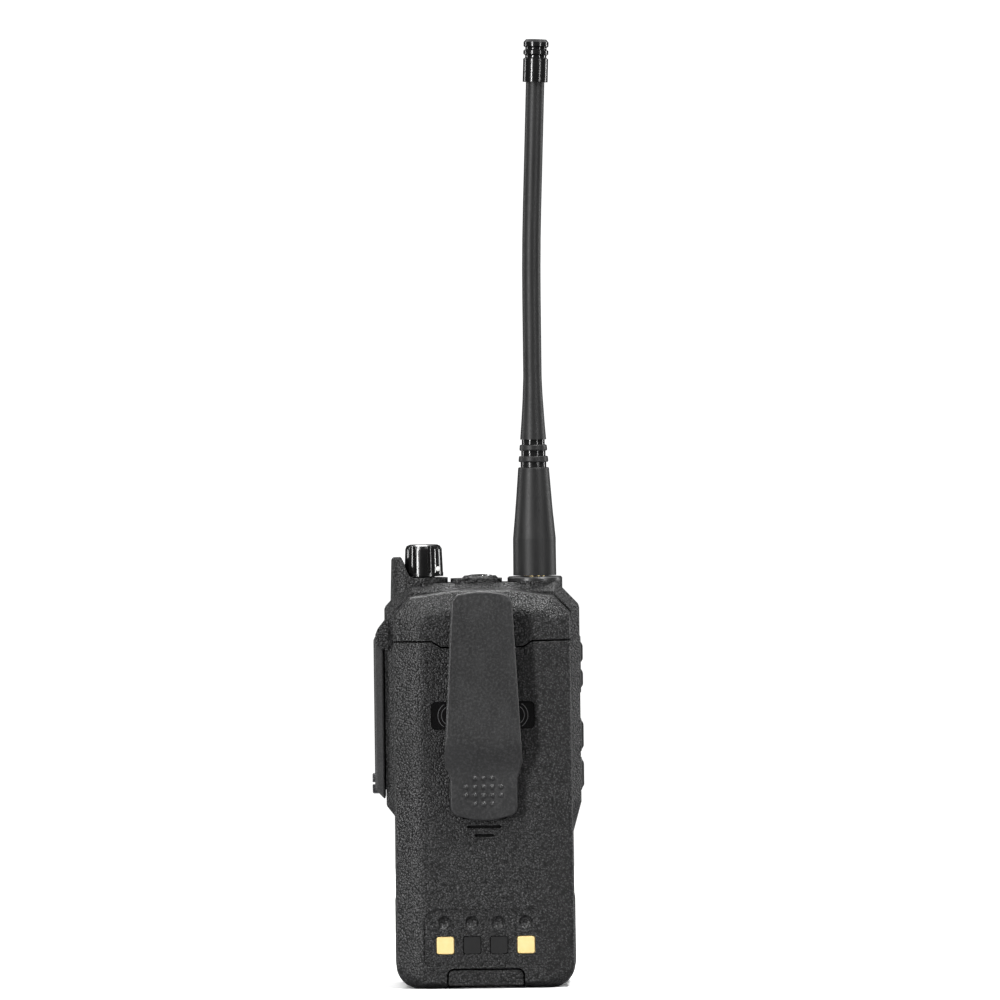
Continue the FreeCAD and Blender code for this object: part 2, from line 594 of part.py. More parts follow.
def contact_springs():
    """Three arched leaf springs that reach the battery through the bay's window."""
    made = []
    for x in (-7.5, 0.0, 7.5):
        arch = [
            (1.5, 82.0), (1.9, 82.0), (1.9, 84.0), (3.95, 86.2), (3.95, 87.8), (1.9, 90.0),
            (1.9, 92.0), (1.5, 92.0), (1.5, 89.8), (3.55, 87.6), (3.55, 86.4), (1.5, 84.2),
        ]
        made.append(prism_yz(arch, 0, (x - 1.5, x + 1.5)))
    return Part.makeCompound(made)


# ---------------------------------------------------------------- side keys
def side_key(y, z, crowns):
    """A side key: flat cap with one raised rib for each Z range in crowns, and a flange inside."""
    face = -CHEST_HALF - 0.1
    inner = -CHEST_HALF + WALL
    cap = prism_yz(rectangle(y, z), 1.8, (face - 0.2, inner + 0.4))
    cap = cap.makeFillet(0.3, edges_where(cap, lambda m, b: b.XMax < face - 0.19))
    ribs = []
    for low, high in crowns:
        rib = prism_xz(
            [(face, low), (face, high), (SIDE_KEY_OUT, high - 1.3), (SIDE_KEY_OUT, low + 1.3)],
            [0.0, 0.0, 1.2, 1.2], (y[0] + 0.6, y[1] - 0.6),
        )
        ribs.append(rib)
    flange_y, flange_z = (y[0] - 0.9, y[1] + 0.9), (z[0] - 0.9, z[1] + 0.9)
    flange = prism_yz(rectangle(flange_y, flange_z), 2.6, (inner + 0.3, inner + 1.0))
    return fused(cap, flange, *ribs)


def side_switches():
    """The three tactile switches that the side keys press."""
    made = []
    x = -CHEST_HALF + WALL + 1.0 + SIDE_TRAVEL + 0.35
    my = sum(PTT_Y_RANGE) / 2
    for z in (PTT_Z[0] + 4.5, sum(SIDE_KEY_UPPER_Z) / 2, sum(SIDE_KEY_LOWER_Z) / 2):
        body = box((x + 0.5, x + 2.0), (my - 1.8, my + 1.8), (z - 3.0, z + 3.0))
        tip = rod(0.9, (x, my, z), (x + 0.6, my, z))
        made.append(fused(body, tip))
    return Part.makeCompound(made)


# ---------------------------------------------------------------- accessory port
def port_cover():
    """The thick cover over the port: round hinge edge on top, chamfered foot, recess for its screw."""
    middle = (COVER_IN + COVER_OUT) / 2
    half = (COVER_OUT - COVER_IN) / 2
    outline = [
        (COVER_IN, 54.0), (COVER_OUT, 57.2), (COVER_OUT, COVER_PIVOT_Z + half),
        (COVER_IN, COVER_PIVOT_Z + half),
    ]
    y = (PORT_Y - 7.0, PORT_Y + 7.0)
    cover = prism_xz(outline, [0.3, 1.0, half - 0.01, half - 0.01], y)
    long_edges = edges_where(
        cover, lambda m, b: b.YLength < 0.01 and b.XMin > COVER_OUT - 0.01 and b.ZLength > 10
    )
    cover = cover.makeFillet(0.7, long_edges)
    panel = prism_yz(
        rectangle((PORT_Y - 4.6, PORT_Y + 4.6), (65.0, 96.0)), 1.5, (COVER_OUT - 0.5, COVER_OUT + 1)
    )
    grips = [
        prism_yz(rectangle((PORT_Y - 3.2, PORT_Y + 3.2), (z, z + 1.4)), 0.6, (COVER_OUT - 0.7, COVER_OUT - 0.1))
        for z in (76.0, 79.0, 82.0, 85.0)
    ]
    recess = rod(3.35, (COVER_OUT - 1.1, PORT_Y, SCREW_Z), (COVER_OUT + 1, PORT_Y, SCREW_Z))
    hole = rod(1.38, (COVER_IN - 1, PORT_Y, SCREW_Z), (COVER_OUT + 1, PORT_Y, SCREW_Z))
    pegs = rod(0.85, (middle, y[0] - 1, COVER_PIVOT_Z), (middle, y[0] + 1.2, COVER_PIVOT_Z))
    pegs_far = rod(0.85, (middle, y[1] - 1.2, COVER_PIVOT_Z), (middle, y[1] + 1, COVER_PIVOT_Z))
    return fused(cut(cover, panel, recess, hole, pegs, pegs_far), *grips)


def port_cover_seal():
    """The rubber plug on the inner face of the cover that closes the port."""
    outer = prism_yz(rectangle((PORT_Y - 3.4, PORT_Y + 3.4), (66.5, 91.7)), 1.8, (26.6, COVER_IN))
    inner = prism_yz(rectangle((PORT_Y - 2.4, PORT_Y + 2.4), (67.5, 90.7)), 1.0, (26.0, 27.6))
    return outer.cut(inner)


def port_thumb_screw():
    """The slotted captive screw that holds the cover shut."""
    head = rod(3.0, (COVER_OUT - 1.05, PORT_Y, SCREW_Z), (COVER_OUT + 0.8, PORT_Y, SCREW_Z))
    head = head.makeChamfer(0.3, edges_where(head, lambda m, b: b.XMin > COVER_OUT + 0.7))
    shank = rod(1.3, (26.2, PORT_Y, SCREW_Z), (COVER_OUT - 1.0, PORT_Y, SCREW_Z))
    slot = box((COVER_OUT - 0.1, COVER_OUT + 2), (PORT_Y - 5, PORT_Y + 5), (SCREW_Z - 0.45, SCREW_Z + 0.45))
    notches = []
    for i in range(18):
        a = 2 * math.pi * i / 18
        y, z = PORT_Y + 3.15 * math.cos(a), SCREW_Z + 3.15 * math.sin(a)
        notches.append(rod(0.3, (COVER_OUT - 2, y, z), (COVER_OUT + 2, y, z)))
    return cut(fused(head, shank), slot, *notches)


def accessory_jacks():
    """The two-way headset socket block, with a large and a small bore."""
    block = prism_yz(rectangle((PORT_Y - 3.6, PORT_Y + 3.6), (67.0, 91.0)), 1.0, (16.0, 26.3))
    bores = [
        rod(JACK_BIG_R, (18.3, PORT_Y, JACK_BIG_Z), (27.0, PORT_Y, JACK_BIG_Z)),
        rod(JACK_SMALL_R, (18.3, PORT_Y, JACK_SMALL_Z), (27.0, PORT_Y, JACK_SMALL_Z)),
    ]
    return cut(block, *bores)


# ---------------------------------------------------------------- antenna
def whip_path(low, high):
    """The whip's centreline: straight up, one long gentle bend, then straight to the top."""
    a = V(ANT_X, ANT_Y, low)
    b = V(ANT_X, ANT_Y, WHIP_BEND_Z)
    half, full = WHIP_LEAN / 2, WHIP_LEAN
    centre = V(ANT_X - WHIP_BEND_R, ANT_Y, WHIP_BEND_Z)
    mid = centre + V(WHIP_BEND_R * math.cos(half), 0, WHIP_BEND_R * math.sin(half))
    c = centre + V(WHIP_BEND_R * math.cos(full), 0, WHIP_BEND_R * math.sin(full))
    along = V(-math.sin(full), 0, math.cos(full))
    d = c + along * ((high - c.z) / along.z)
    edges = [Part.LineSegment(a, b).toShape(), Part.Arc(b, mid, c).toShape(), Part.LineSegment(c, d).toShape()]
    return Part.Wire(edges), d, along


def whip_tube(radius, low, high):
    """A round bar of one radius along the whip's centreline."""
    path, _, _ = whip_path(low, high)
    circle = Part.Wire([Part.makeCircle(radius, V(ANT_X, ANT_Y, low), V(0, 0, 1))])
    return path.makePipeShell([circle], True, True)


def antenna_sleeve():
    """The moulded rubber boot and whip, with three grooves above the stiff foot."""
    groove_z, groove_h, rib_r = (150.4, 153.7, 157.0), 1.5, 0.4
    taper = [
        (6.3, ANT_BASE), (6.25, 129.6), (5.7, 135.4), (5.2, 141.2), (4.75, 147.0),
        (4.3, 152.8), (3.8, 158.6), (3.35, 164.4), (2.98, 170.2), (WHIP_R, 177.0), (WHIP_R, 190.0),
    ]
    boot = turned([(0, ANT_BASE)] + taper + [(0, 190.0)], ANT_X, ANT_Y)
    grooves = []
    for z in groove_z:
        ring = rod(6.0, (ANT_X, ANT_Y, z), (ANT_X, ANT_Y, z + groove_h))
        core = rod(3.75 - (z - groove_z[0]) * 0.06, (ANT_X, ANT_Y, z - 1), (ANT_X, ANT_Y, z + 3))
        grooves.append(ring.cut(core))
    ribbed = cut(boot, *grooves)
    lips = [z + step for z in groove_z for step in (0, groove_h)]
    rims = edges_where(ribbed, lambda m, b: b.ZLength < 0.01 and is_lip(m, lips))
    ribbed = ribbed.makeFillet(rib_r, rims)
    socket = rod(4.3, (ANT_X, ANT_Y, ANT_BASE - 1), (ANT_X, ANT_Y, 127.2))
    core = whip_tube(1.05, 126.0, ANT_TOP - 6.8)
    return cut(fused(ribbed, whip_tube(WHIP_R, 188.0, ANT_TOP - 6.6)), socket, core)


def is_lip(middle, heights):
    """Whether a point of an edge lies on the outside of the boot at one of the heights."""
    reach = math.hypot(middle.x - ANT_X, middle.y - ANT_Y)
    return reach > 3.85 and any(abs(middle.z - z) < 0.01 for z in heights)


def antenna_radiator():
    """The sprung steel core that the rubber is moulded over."""
    return whip_tube(0.98, 127.4, ANT_TOP - 6.9)


def antenna_tip_cap():
    """The glossy grooved cap pushed onto the end of the whip."""
    _, end, along = whip_path(190.0, ANT_TOP - 6.5)
    length, radius = 12.4, 3.65
    profile = [
        (WHIP_R + 0.04, 0), (radius, 0), (radius, 6.7), (radius - 0.55, 7.1), (radius - 0.55, 7.7),
        (radius, 8.1), (radius, 9.1), (radius - 0.55, 9.5), (radius - 0.55, 10.0), (radius, 10.4),
        (radius, 11.6), (radius - 0.7, length), (0, length), (0, 6.2), (WHIP_R + 0.04, 6.2),
    ]
    cap = turned(profile, 0, 0)
    cap.Placement = FreeCAD.Placement(end - along * 6.0, FreeCAD.Rotation(V(0, 0, 1), along))
    return cap


def antenna_connector():
    """The brass threaded insert in the antenna's foot; the threads are plain cylinders."""
    return turned(
        [(0.55, 125.2), (3.2, 125.2), (3.2, ANT_BASE + 0.1), (4.25, ANT_BASE + 0.1), (4.25, 127.0), (0.55, 127.0)],
        ANT_X, ANT_Y,
    )


def antenna_center_pin():
    """The contact pin on the antenna's axis."""
    return rod(0.48, (ANT_X, ANT_Y, 120.2), (ANT_X, ANT_Y, 126.9))


def antenna_socket():
    """The radio's threaded antenna socket with its square flange under the roof."""
    half = 4.2
    flange = box((ANT_X - half, ANT_X + half), (ANT_Y - half, ANT_Y + half), (113.2, 114.9))
    barrel = rod(3.1, (ANT_X, ANT_Y, 112.0), (ANT_X, ANT_Y, 124.6))
    bore = rod(0.62, (ANT_X, ANT_Y, 118.0), (ANT_X, ANT_Y, 125.0))
    return cut(fused(flange, barrel), bore)


def antenna_seat_ring():
    """The rubber ring between the roof and the antenna's foot."""
    low = SEAT_TOP - 1.28
    return turned(
        [(3.3, low), (8.0, low), (8.0, SEAT_TOP - 0.4), (7.6, SEAT_TOP), (3.3, SEAT_TOP)], ANT_X, ANT_Y
    )


# ---------------------------------------------------------------- belt clip
CLIP_OUTLINE = [
    (0.0, 48.3), (9.8, 50.6), (9.8, 61.4), (11.3, 65.6), (8.7, 114.1),
    (0.0, 115.5), (-8.7, 114.1), (-11.3, 65.6), (-9.8, 61.4), (-9.8, 50.6),
]
CLIP_RADII = [20.0, 3.2, 2.0, 1.2, 3.2, 26.0, 3.2, 1.2, 2.0, 3.2]


def belt_clip():
    """The clip lever: a tapering blade bent in towards its tip, with two ears round the pin."""
    inner = CLIP_OUT_Y - CLIP_T
    profile = [
        (CLIP_OUT_Y - 0.9, 118.0), (CLIP_OUT_Y, 108.0), (CLIP_OUT_Y, 71.0), LEAF_HIGH, LEAF_LOW,
        (19.7, 46.0), (21.0, 64.6), (inner, 72.0), (inner, 108.0), (inner - 0.9, 118.0),
    ]
    side = prism_yz(profile, [0, 20, 8, 8, 0, 0, 6, 6, 20, 0], (-15, 15))
    blade = side.common(prism_xz(CLIP_OUTLINE, CLIP_RADII, (15, 32)))
    rim = edges_where(blade, lambda m, b: is_outer_rim(m))
    blade = blade.makeFillet(0.6, rim)
    ears = []
    for low in (-5.3, 3.5):
        ear = prism_yz(
            [(CLIP_PIN_Y - 1.8, CLIP_PIN_Z - 1.8), (inner + 0.4, CLIP_PIN_Z - 3.0),
             (inner + 0.4, CLIP_PIN_Z + 3.4), (CLIP_PIN_Y - 1.8, CLIP_PIN_Z + 1.8)],
            [1.7, 0, 0, 1.7], (low, low + 1.8),
        )
        ears.append(ear)
    hole = rod(CLIP_PIN_R + 0.06, (-9, CLIP_PIN_Y, CLIP_PIN_Z), (9, CLIP_PIN_Y, CLIP_PIN_Z))
    dished = blade.cut(thumb_dish())
    return cut(fused(dished, *ears, *thumb_dots()), hole)


def clip_face_y(z):
    """The outer face of the clip's lower leaf at one height."""
    return LEAF_LOW[0] + (z - LEAF_LOW[1]) * LEAF_SLOPE


def thumb_dish():
    """The lens-shaped space of the shallow round dish in the clip's lower leaf."""
    middle = V(0, clip_face_y(DISH_Z), DISH_Z)
    out = V(0, 1, -LEAF_SLOPE).normalize()
    ball = Part.makeSphere(DISH_BALL_R, middle + out * (DISH_BALL_R - DISH_DEPTH))
    return ball.common(Part.makeCylinder(DISH_R, 4.0, middle - out * 2.0, out))


def thumb_dots():
    """The raised dots in the dish, in rows of three, five, five and three."""
    dots = []
    for row, count in enumerate((3, 5, 5, 3)):
        z = DISH_Z + (1.5 - row) * DOT_PITCH
        for k in range(count):
            x = (k - (count - 1) / 2) * DOT_PITCH
            reach = math.hypot(x, z - DISH_Z)
            scoop = max(0.0, DISH_DEPTH - reach**2 / (2 * DISH_BALL_R))
            dots.append(Part.makeSphere(DOT_BALL_R, V(x, clip_face_y(z) - scoop - DOT_SUNK, z)))
    return dots


def is_outer_rim(middle):
    """Whether a point of the blade's edge lies on the outward face rather than the inner one."""
    if middle.z > 71.0:
        face = CLIP_OUT_Y - max(0.0, middle.z - 108.0) * 0.09
    elif middle.z > LEAF_HIGH[1]:
        face = LEAF_HIGH[0] + (middle.z - LEAF_HIGH[1]) * 0.514
    else:
        face = clip_face_y(middle.z)
    inside = abs(middle.x) < 8.0 and 52.0 < middle.z < 112.0
    return abs(middle.y - face) < 0.75 and not inside


def belt_clip_bracket():
    """The plate screwed to the shoulder, with two ears that hold the hinge pin."""
    y = (CLIP_SEAT_Y, CLIP_SEAT_Y + 1.6)
    plate = prism_xz(rectangle((-7.4, 7.4), (99.3, 109.4)), 1.2, y)
    ears = []
    for low in (-7.4, 5.6):
        ear = prism_yz(
            [(y[0] + 0.8, CLIP_PIN_Z - 3.6), (CLIP_PIN_Y + 1.5, CLIP_PIN_Z - 1.5),
             (CLIP_PIN_Y + 1.5, CLIP_PIN_Z + 1.5), (y[0] + 0.8, CLIP_PIN_Z + 1.6)],
            [0, 1.3, 1.4, 0], (low, low + 1.8),
        )
        ears.append(ear)
    holes = [rod(SCREW_R + 0.1, (x, y[0] - 1, z), (x, y[1] + 1, z)) for x, z in CLIP_SCREWS]
    pin_hole = rod(CLIP_PIN_R + 0.02, (-9, CLIP_PIN_Y, CLIP_PIN_Z), (9, CLIP_PIN_Y, CLIP_PIN_Z))
    return cut(fused(plate, *ears), pin_hole, *holes)


def belt_clip_pin():
    """The steel hinge pin."""
    return rod(CLIP_PIN_R, (-7.4, CLIP_PIN_Y, CLIP_PIN_Z), (7.4, CLIP_PIN_Y, CLIP_PIN_Z))


def belt_clip_spring():
    """The coil spring round the pin that keeps the clip shut."""
    return coil(1.3, 0.24, 0.85, 7, (-2.975, CLIP_PIN_Y, CLIP_PIN_Z), (1, 0, 0))


# ---------------------------------------------------------------- battery pack
def battery_cavity(z):
    """The hollow inside the pack, following the shape of its back."""
    return prism_xy(
        [(-23.4, BAY_Y - 1), (23.4, BAY_Y - 1), (23.4, 13.8), (17.4, 17.0), (-17.4, 17.0), (-23.4, 13.8)],
        [0, 0, 1.0, 1.0, 1.0, 1.0], z,
    )


def contact_x():
    """The X of the two charging pads and of the two blank positions between them."""
    return [CONTACT_PITCH * k for k in (-1.5, -0.5, 0.5, 1.5)]


def pad_corners(x, width):
    """A square centred on one contact position."""
    half = width / 2
    return rectangle((x - half, x + half), (CONTACT_Z - half, CONTACT_Z + half))


def battery_shell():
    """The outer case of the pack with its label recess, contact panel, grip grooves and latch notch."""
    shell = back_body().common(below_seam(GAP))
    shell = shell.common(box((-FAR, FAR), (BAY_Y, FAR), (-1, 110)))
    hollow = battery_cavity((8.0, 97.0))
    label = prism_xz(rectangle((-LABEL_X, LABEL_X), LABEL_Z), 1.4, (BACK_Y - 0.55, BACK_Y + 1))
    panel = prism_xz(
        rectangle((-PANEL_X, PANEL_X), PANEL_Z), [2.0, 2.0, 4.0, 4.0], (BACK_Y - PANEL_DEPTH, BACK_Y + 1)
    )
    holes = [hollow, label, panel]
    for z, half in ((49.6, 6.4), (46.9, 4.95), (44.4, 2.75)):
        corners = rectangle((-half, half), (z - 0.4, z + 0.4))
        holes.append(prism_xz(corners, 0.39, (BACK_Y - 1.1, BACK_Y + 1)))
    for x in contact_x():
        ball = Part.makeSphere(DIMPLE_R * 1.25, V(x, BACK_Y - PANEL_DEPTH + DIMPLE_R * 0.75, DIMPLE_Z))
        holes.append(ball)
    for k, x in enumerate(contact_x()):
        if k in (0, 3):
            holes.append(prism_xz(pad_corners(x, CONTACT_W + 0.5), 0.8, (BACK_Y - 3, BACK_Y + 1)))
        else:
            pocket = prism_xz(pad_corners(x, CONTACT_W + 0.5), 0.8, (BACK_Y - 1.15, BACK_Y + 1))
            blank = prism_xz(pad_corners(x, CONTACT_W), 0.6, (BACK_Y - 1.3, BACK_Y - 0.75))
            holes.append(pocket.cut(blank))
    x = LATCH_X + 0.4
    holes.append(prism_xz(rectangle((-x, x), (-3.0, LATCH_Z[1] + 0.4)), [0, 0, 2.1, 2.1], (14.4, BACK_Y + 1)))
    holes.append(box((-13.4, 13.4), (9.6, 14.6), (1.6, 5.6)))
    holes.append(box((-x, x), (9.6, 14.6), (-1.0, 2.0)))
    holes.append(box((-4.3, 4.3), (BAY_Y - 1, 10.0), (2.1, 4.7)))
    for side in (-12.2, 12.2):
        holes.append(rod(1.05, (side, 14.5, 3.4), (side, 17.2, 3.4)))
    return cut(shell, *holes)


def battery_inner_cover():
    """The inner wall of the pack, with a T slot and an entry window for each hook in the bay."""
    cover = box((-23.3, 23.3), (BAY_Y, BAY_Y + 3.2), (8.1, 96.9))
    holes = []
    for x, z in HOOKS:
        low, high = z - 0.4, z + HOOK_L + BATTERY_TRAVEL + 0.4
        entry = (low + BATTERY_TRAVEL, high)
        holes.append(box((x - 1.3, x + 1.3), (0, BAY_Y + 1.4), (low, high)))
        holes.append(box((x - 2.3, x + 2.3), (REAR_Y + 1.1, REAR_Y + 2.7), (low, high)))
        holes.append(box((x - 2.3, x + 2.3), (0, BAY_Y + 1.4), entry))
    for x in (-7.5, 0.0, 7.5):
        holes.append(box((x - 2.2, x + 2.2), (0, BAY_Y + 0.8), (82.8, 91.2)))
    return cut(cover, *holes)


def battery_cells():
    """Two flat lithium cells side by side."""
    corners = rectangle((0.4, 22.8), (7.7, 13.6))
    cell = prism_xy(corners, 2.4, (17.0, 92.0))
    other = cell.mirror(V(0, 0, 0), V(1, 0, 0))
    return Part.makeCompound([cell, other])


def battery_board():
    """The pack's protection circuit board."""
    board = box((-16.0, 16.0), (13.9, 14.9), (9.0, 25.0))
    chip = box((-3.0, 3.0), (14.8, 15.8), (18.5, 22.0))
    return fused(board, chip)


def battery_contacts():
    """The two charging pads on the back and the three terminals that face the bay."""
    made = []
    for x in (contact_x()[0], contact_x()[3]):
        pad = prism_xz(pad_corners(x, CONTACT_W), 0.6, (BACK_Y - 2.6, BACK_Y - 0.5))
        pad = pad.makeFillet(0.15, edges_where(pad, lambda m, b: b.YMin > BACK_Y - 0.51))
        flange = prism_xz(pad_corners(x, CONTACT_W + 1.6), 0.6, (BACK_Y - 2.9, BACK_Y - 2.1))
        made.append(fused(pad, flange))
    for x in (-7.5, 0.0, 7.5):
        made.append(box((x - 2.0, x + 2.0), (BAY_Y + 0.1, BAY_Y + 0.7), (83.0, 91.0)))
    return Part.makeCompound(made)


def battery_label():
    """The glossy inlay in the recess behind the clip."""
    x = LABEL_X - 0.12
    z = (LABEL_Z[0] + 0.12, LABEL_Z[1] - 0.12)
    return prism_xz(rectangle((-x, x), z), 1.28, (BACK_Y - 0.53, BACK_Y - 0.2))


def battery_latch():
    """The release latch: thumb tab at the foot of the pack, spring flange and locking tongue."""
    tab = prism_xz(rectangle((-LATCH_X, LATCH_X), LATCH_Z), [0.6, 0.6, 1.7, 1.7], (12.6, BACK_Y - 0.4))
    tab = tab.makeFillet(0.4, edges_where(tab, lambda m, b: b.YMin > BACK_Y - 0.41))
    flange = box((-13.1, 13.1), (11.5, 12.7), (2.0, 5.2))
    tongue = box((-4.0, 4.0), (2.7, 11.6), (2.4, 4.3))
    return fused(tab, flange, tongue)


def latch_springs():
    """The pair of springs that push the latch's tongue into the bay."""
    springs = [coil(0.7, 0.22, 0.75, 5.4, (x, 12.95, 3.4), (0, 1, 0)) for x in (-12.2, 12.2)]
    return Part.makeCompound(springs)


# ---------------------------------------------------------------- write the pieces
def parts():
    """Every piece by name."""
    made = {
        "front_shell": front_shell(),
        "rear_shell": rear_shell(),
        "case_seals": case_seals(),
        "screws": screws(),
        "display_window": display_window(),
        "display_module": display_module(),
        "keypad_dome_sheet": keypad_dome_sheet(),
        "speaker": speaker(),
        "microphone": microphone(),
        "main_board": main_board(),
        "shield_can": shield_can(),
        "volume_control": volume_control(),
        "volume_shaft": volume_shaft(),
        "volume_knob": volume_knob(),
        "torch_lens": torch_lens(),
        "torch_led": torch_led(),
        "contact_springs": contact_springs(),
        "ptt_button": side_key(PTT_Y_RANGE, PTT_Z, [(93.0, 99.6), (85.6, 91.6)]),
        "side_key_upper": side_key(SIDE_KEY_Y_RANGE, SIDE_KEY_UPPER_Z, [(67.6, 76.6)]),
        "side_key_lower": side_key(SIDE_KEY_Y_RANGE, SIDE_KEY_LOWER_Z, [(56.3, 65.2)]),
        "side_switches": side_switches(),
        "port_cover": port_cover(),
        "port_cover_seal": port_cover_seal(),
        "port_thumb_screw": port_thumb_screw(),
        "accessory_jacks": accessory_jacks(),
        "antenna_sleeve": antenna_sleeve(),
        "antenna_radiator": antenna_radiator(),
        "antenna_tip_cap": antenna_tip_cap(),
        "antenna_connector": antenna_connector(),
        "antenna_center_pin": antenna_center_pin(),
        "antenna_socket": antenna_socket(),
        "antenna_seat_ring": antenna_seat_ring(),
        "belt_clip": belt_clip(),
        "belt_clip_bracket": belt_clip_bracket(),
        "belt_clip_pin": belt_clip_pin(),
        "belt_clip_spring": belt_clip_spring(),
        "battery_shell": battery_shell(),
        "battery_inner_cover": battery_inner_cover(),
        "battery_cells": battery_cells(),
        "battery_board": battery_board(),
        "battery_contacts": battery_contacts(),
        "battery_label": battery_label(),
        "battery_latch": battery_latch(),
        "latch_springs": latch_springs(),
    }
    for name, x, z in key_centres():
        made[name] = keypad_key(x, z)
    return made


def main():
    """Writes one STEP file for each piece and prints its solids and volume."""
    os.makedirs("parts", exist_ok=True)
    for name, shape in sorted(parts().items()):
        shape.exportStep(f"parts/{name}.step")
        print(f"{name:22s} solids {len(shape.Solids)} valid {shape.isValid()} volume {shape.Volume:9.1f}")


main()
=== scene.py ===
"""Handheld two-way radio: finishes, small printed and moulded pieces, and a white studio, in metres."""
import json
import math
import bmesh
import bpy
from mathutils import Matrix, Vector


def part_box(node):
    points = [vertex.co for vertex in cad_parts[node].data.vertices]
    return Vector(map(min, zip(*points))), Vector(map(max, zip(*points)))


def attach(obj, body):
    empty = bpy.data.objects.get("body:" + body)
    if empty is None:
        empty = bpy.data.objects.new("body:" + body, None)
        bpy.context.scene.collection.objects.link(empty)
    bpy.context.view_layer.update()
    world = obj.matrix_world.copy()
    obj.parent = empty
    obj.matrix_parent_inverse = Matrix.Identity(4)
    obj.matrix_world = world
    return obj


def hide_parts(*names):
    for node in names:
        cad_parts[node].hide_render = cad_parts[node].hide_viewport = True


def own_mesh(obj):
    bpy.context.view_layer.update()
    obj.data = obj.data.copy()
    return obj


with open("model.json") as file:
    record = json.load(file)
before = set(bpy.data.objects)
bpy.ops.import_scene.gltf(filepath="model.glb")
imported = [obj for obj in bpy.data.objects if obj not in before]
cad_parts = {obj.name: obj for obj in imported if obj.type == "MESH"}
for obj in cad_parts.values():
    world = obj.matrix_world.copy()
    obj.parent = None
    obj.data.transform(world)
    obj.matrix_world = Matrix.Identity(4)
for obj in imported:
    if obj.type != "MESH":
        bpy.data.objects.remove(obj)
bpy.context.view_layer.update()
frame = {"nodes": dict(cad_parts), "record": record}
MM = 0.001
NODES = frame["nodes"]


# ---------------------------------------------------------------- material helpers
class Finish:
    """One material: a Principled shader, with textures measured in millimetres on the object."""

    def __init__(self, name, **fixed):
        self.material = bpy.data.materials.new(name)
        self.material.use_nodes = True
        self.tree = self.material.node_tree
        self.shader = self.tree.nodes["Principled BSDF"]
        self.place = self.node("ShaderNodeTexCoord").outputs["Object"]
        self.height = None
        for socket, value in fixed.items():
            self.shader.inputs[socket.replace("_", " ")].default_value = value

    def soften(self, radius_mm):
        """Rounds the look of crisp edges by a small radius."""
        made = self.node("ShaderNodeBevel", samples=6)
        made.inputs["Radius"].default_value = radius_mm * MM
        self.height = made.outputs["Normal"]
        self.tree.links.new(self.height, self.shader.inputs["Normal"])

    def node(self, kind, **settings):
        """A new node with its settings."""
        made = self.tree.nodes.new(kind)
        for name, value in settings.items():
            setattr(made, name, value)
        return made

    def wire(self, value, socket):
        """Links a node's output to a socket, or sets the socket to a number or colour."""
        if isinstance(value, bpy.types.NodeSocket):
            self.tree.links.new(value, socket)
        else:
            socket.default_value = value

    def math(self, operation, *values, clamp=False):
        """A maths node's result."""
        made = self.node("ShaderNodeMath", operation=operation, use_clamp=clamp)
        for socket, value in zip(made.inputs, values):
            self.wire(value, socket)
        return made.outputs[0]

    def noise(self, size_mm, detail=3.0, roughness=0.55, stretch=(1, 1, 1)):
        """Soft noise whose blotches are about size_mm across."""
        mapping = self.node("ShaderNodeMapping")
        mapping.inputs["Scale"].default_value = stretch
        self.tree.links.new(self.place, mapping.inputs["Vector"])
        made = self.node("ShaderNodeTexNoise")
        self.tree.links.new(mapping.outputs[0], made.inputs["Vector"])
        made.inputs["Scale"].default_value = 1 / (size_mm * MM)
        made.inputs["Detail"].default_value = detail
        made.inputs["Roughness"].default_value = roughness
        return made.outputs["Fac"]

    def cells(self, size_mm, feature="F1"):
        """Distance inside cells of about size_mm."""
        made = self.node("ShaderNodeTexVoronoi", feature=feature)
        self.tree.links.new(self.place, made.inputs["Vector"])
        made.inputs["Scale"].default_value = 1 / (size_mm * MM)
        return made.outputs["Distance"]

    def spread(self, value, low, high, start=0.0, end=1.0):
        """A value between start and end as the input goes from low to high."""
        made = self.node("ShaderNodeMapRange", clamp=True)
        self.wire(value, made.inputs["Value"])
        for socket, number in zip(("From Min", "From Max", "To Min", "To Max"), (low, high, start, end)):
            made.inputs[socket].default_value = number
        return made.outputs["Result"]

    def blend(self, amount, first, second):
        """A colour between two colours."""
        made = self.node("ShaderNodeMix", data_type="RGBA")
        self.wire(amount, made.inputs["Factor"])
        self.wire(first, made.inputs[6])
        self.wire(second, made.inputs[7])
        return made.outputs[2]

    def colour(self, value):
        """Sets the base colour."""
        self.wire(value, self.shader.inputs["Base Color"])

    def rough(self, value):
        """Sets the roughness."""
        self.wire(value, self.shader.inputs["Roughness"])

    def raise_by(self, value, depth_mm, strength=1.0):
        """Adds relief of about depth_mm."""
        made = self.node("ShaderNodeBump")
        made.inputs["Distance"].default_value = depth_mm * MM
        made.inputs["Strength"].default_value = strength
        self.tree.links.new(value, made.inputs["Height"])
        if self.height is not None:
            self.tree.links.new(self.height, made.inputs["Normal"])
        self.height = made.outputs["Normal"]
        self.tree.links.new(self.height, self.shader.inputs["Normal"])

    def separate(self):
        """The X, Y and Z of the place on the object."""
        made = self.node("ShaderNodeSeparateXYZ")
        self.tree.links.new(self.place, made.inputs[0])
        return made.outputs


def grey(level):
    """A neutral colour."""
    return (level, level, level * 1.02, 1.0)


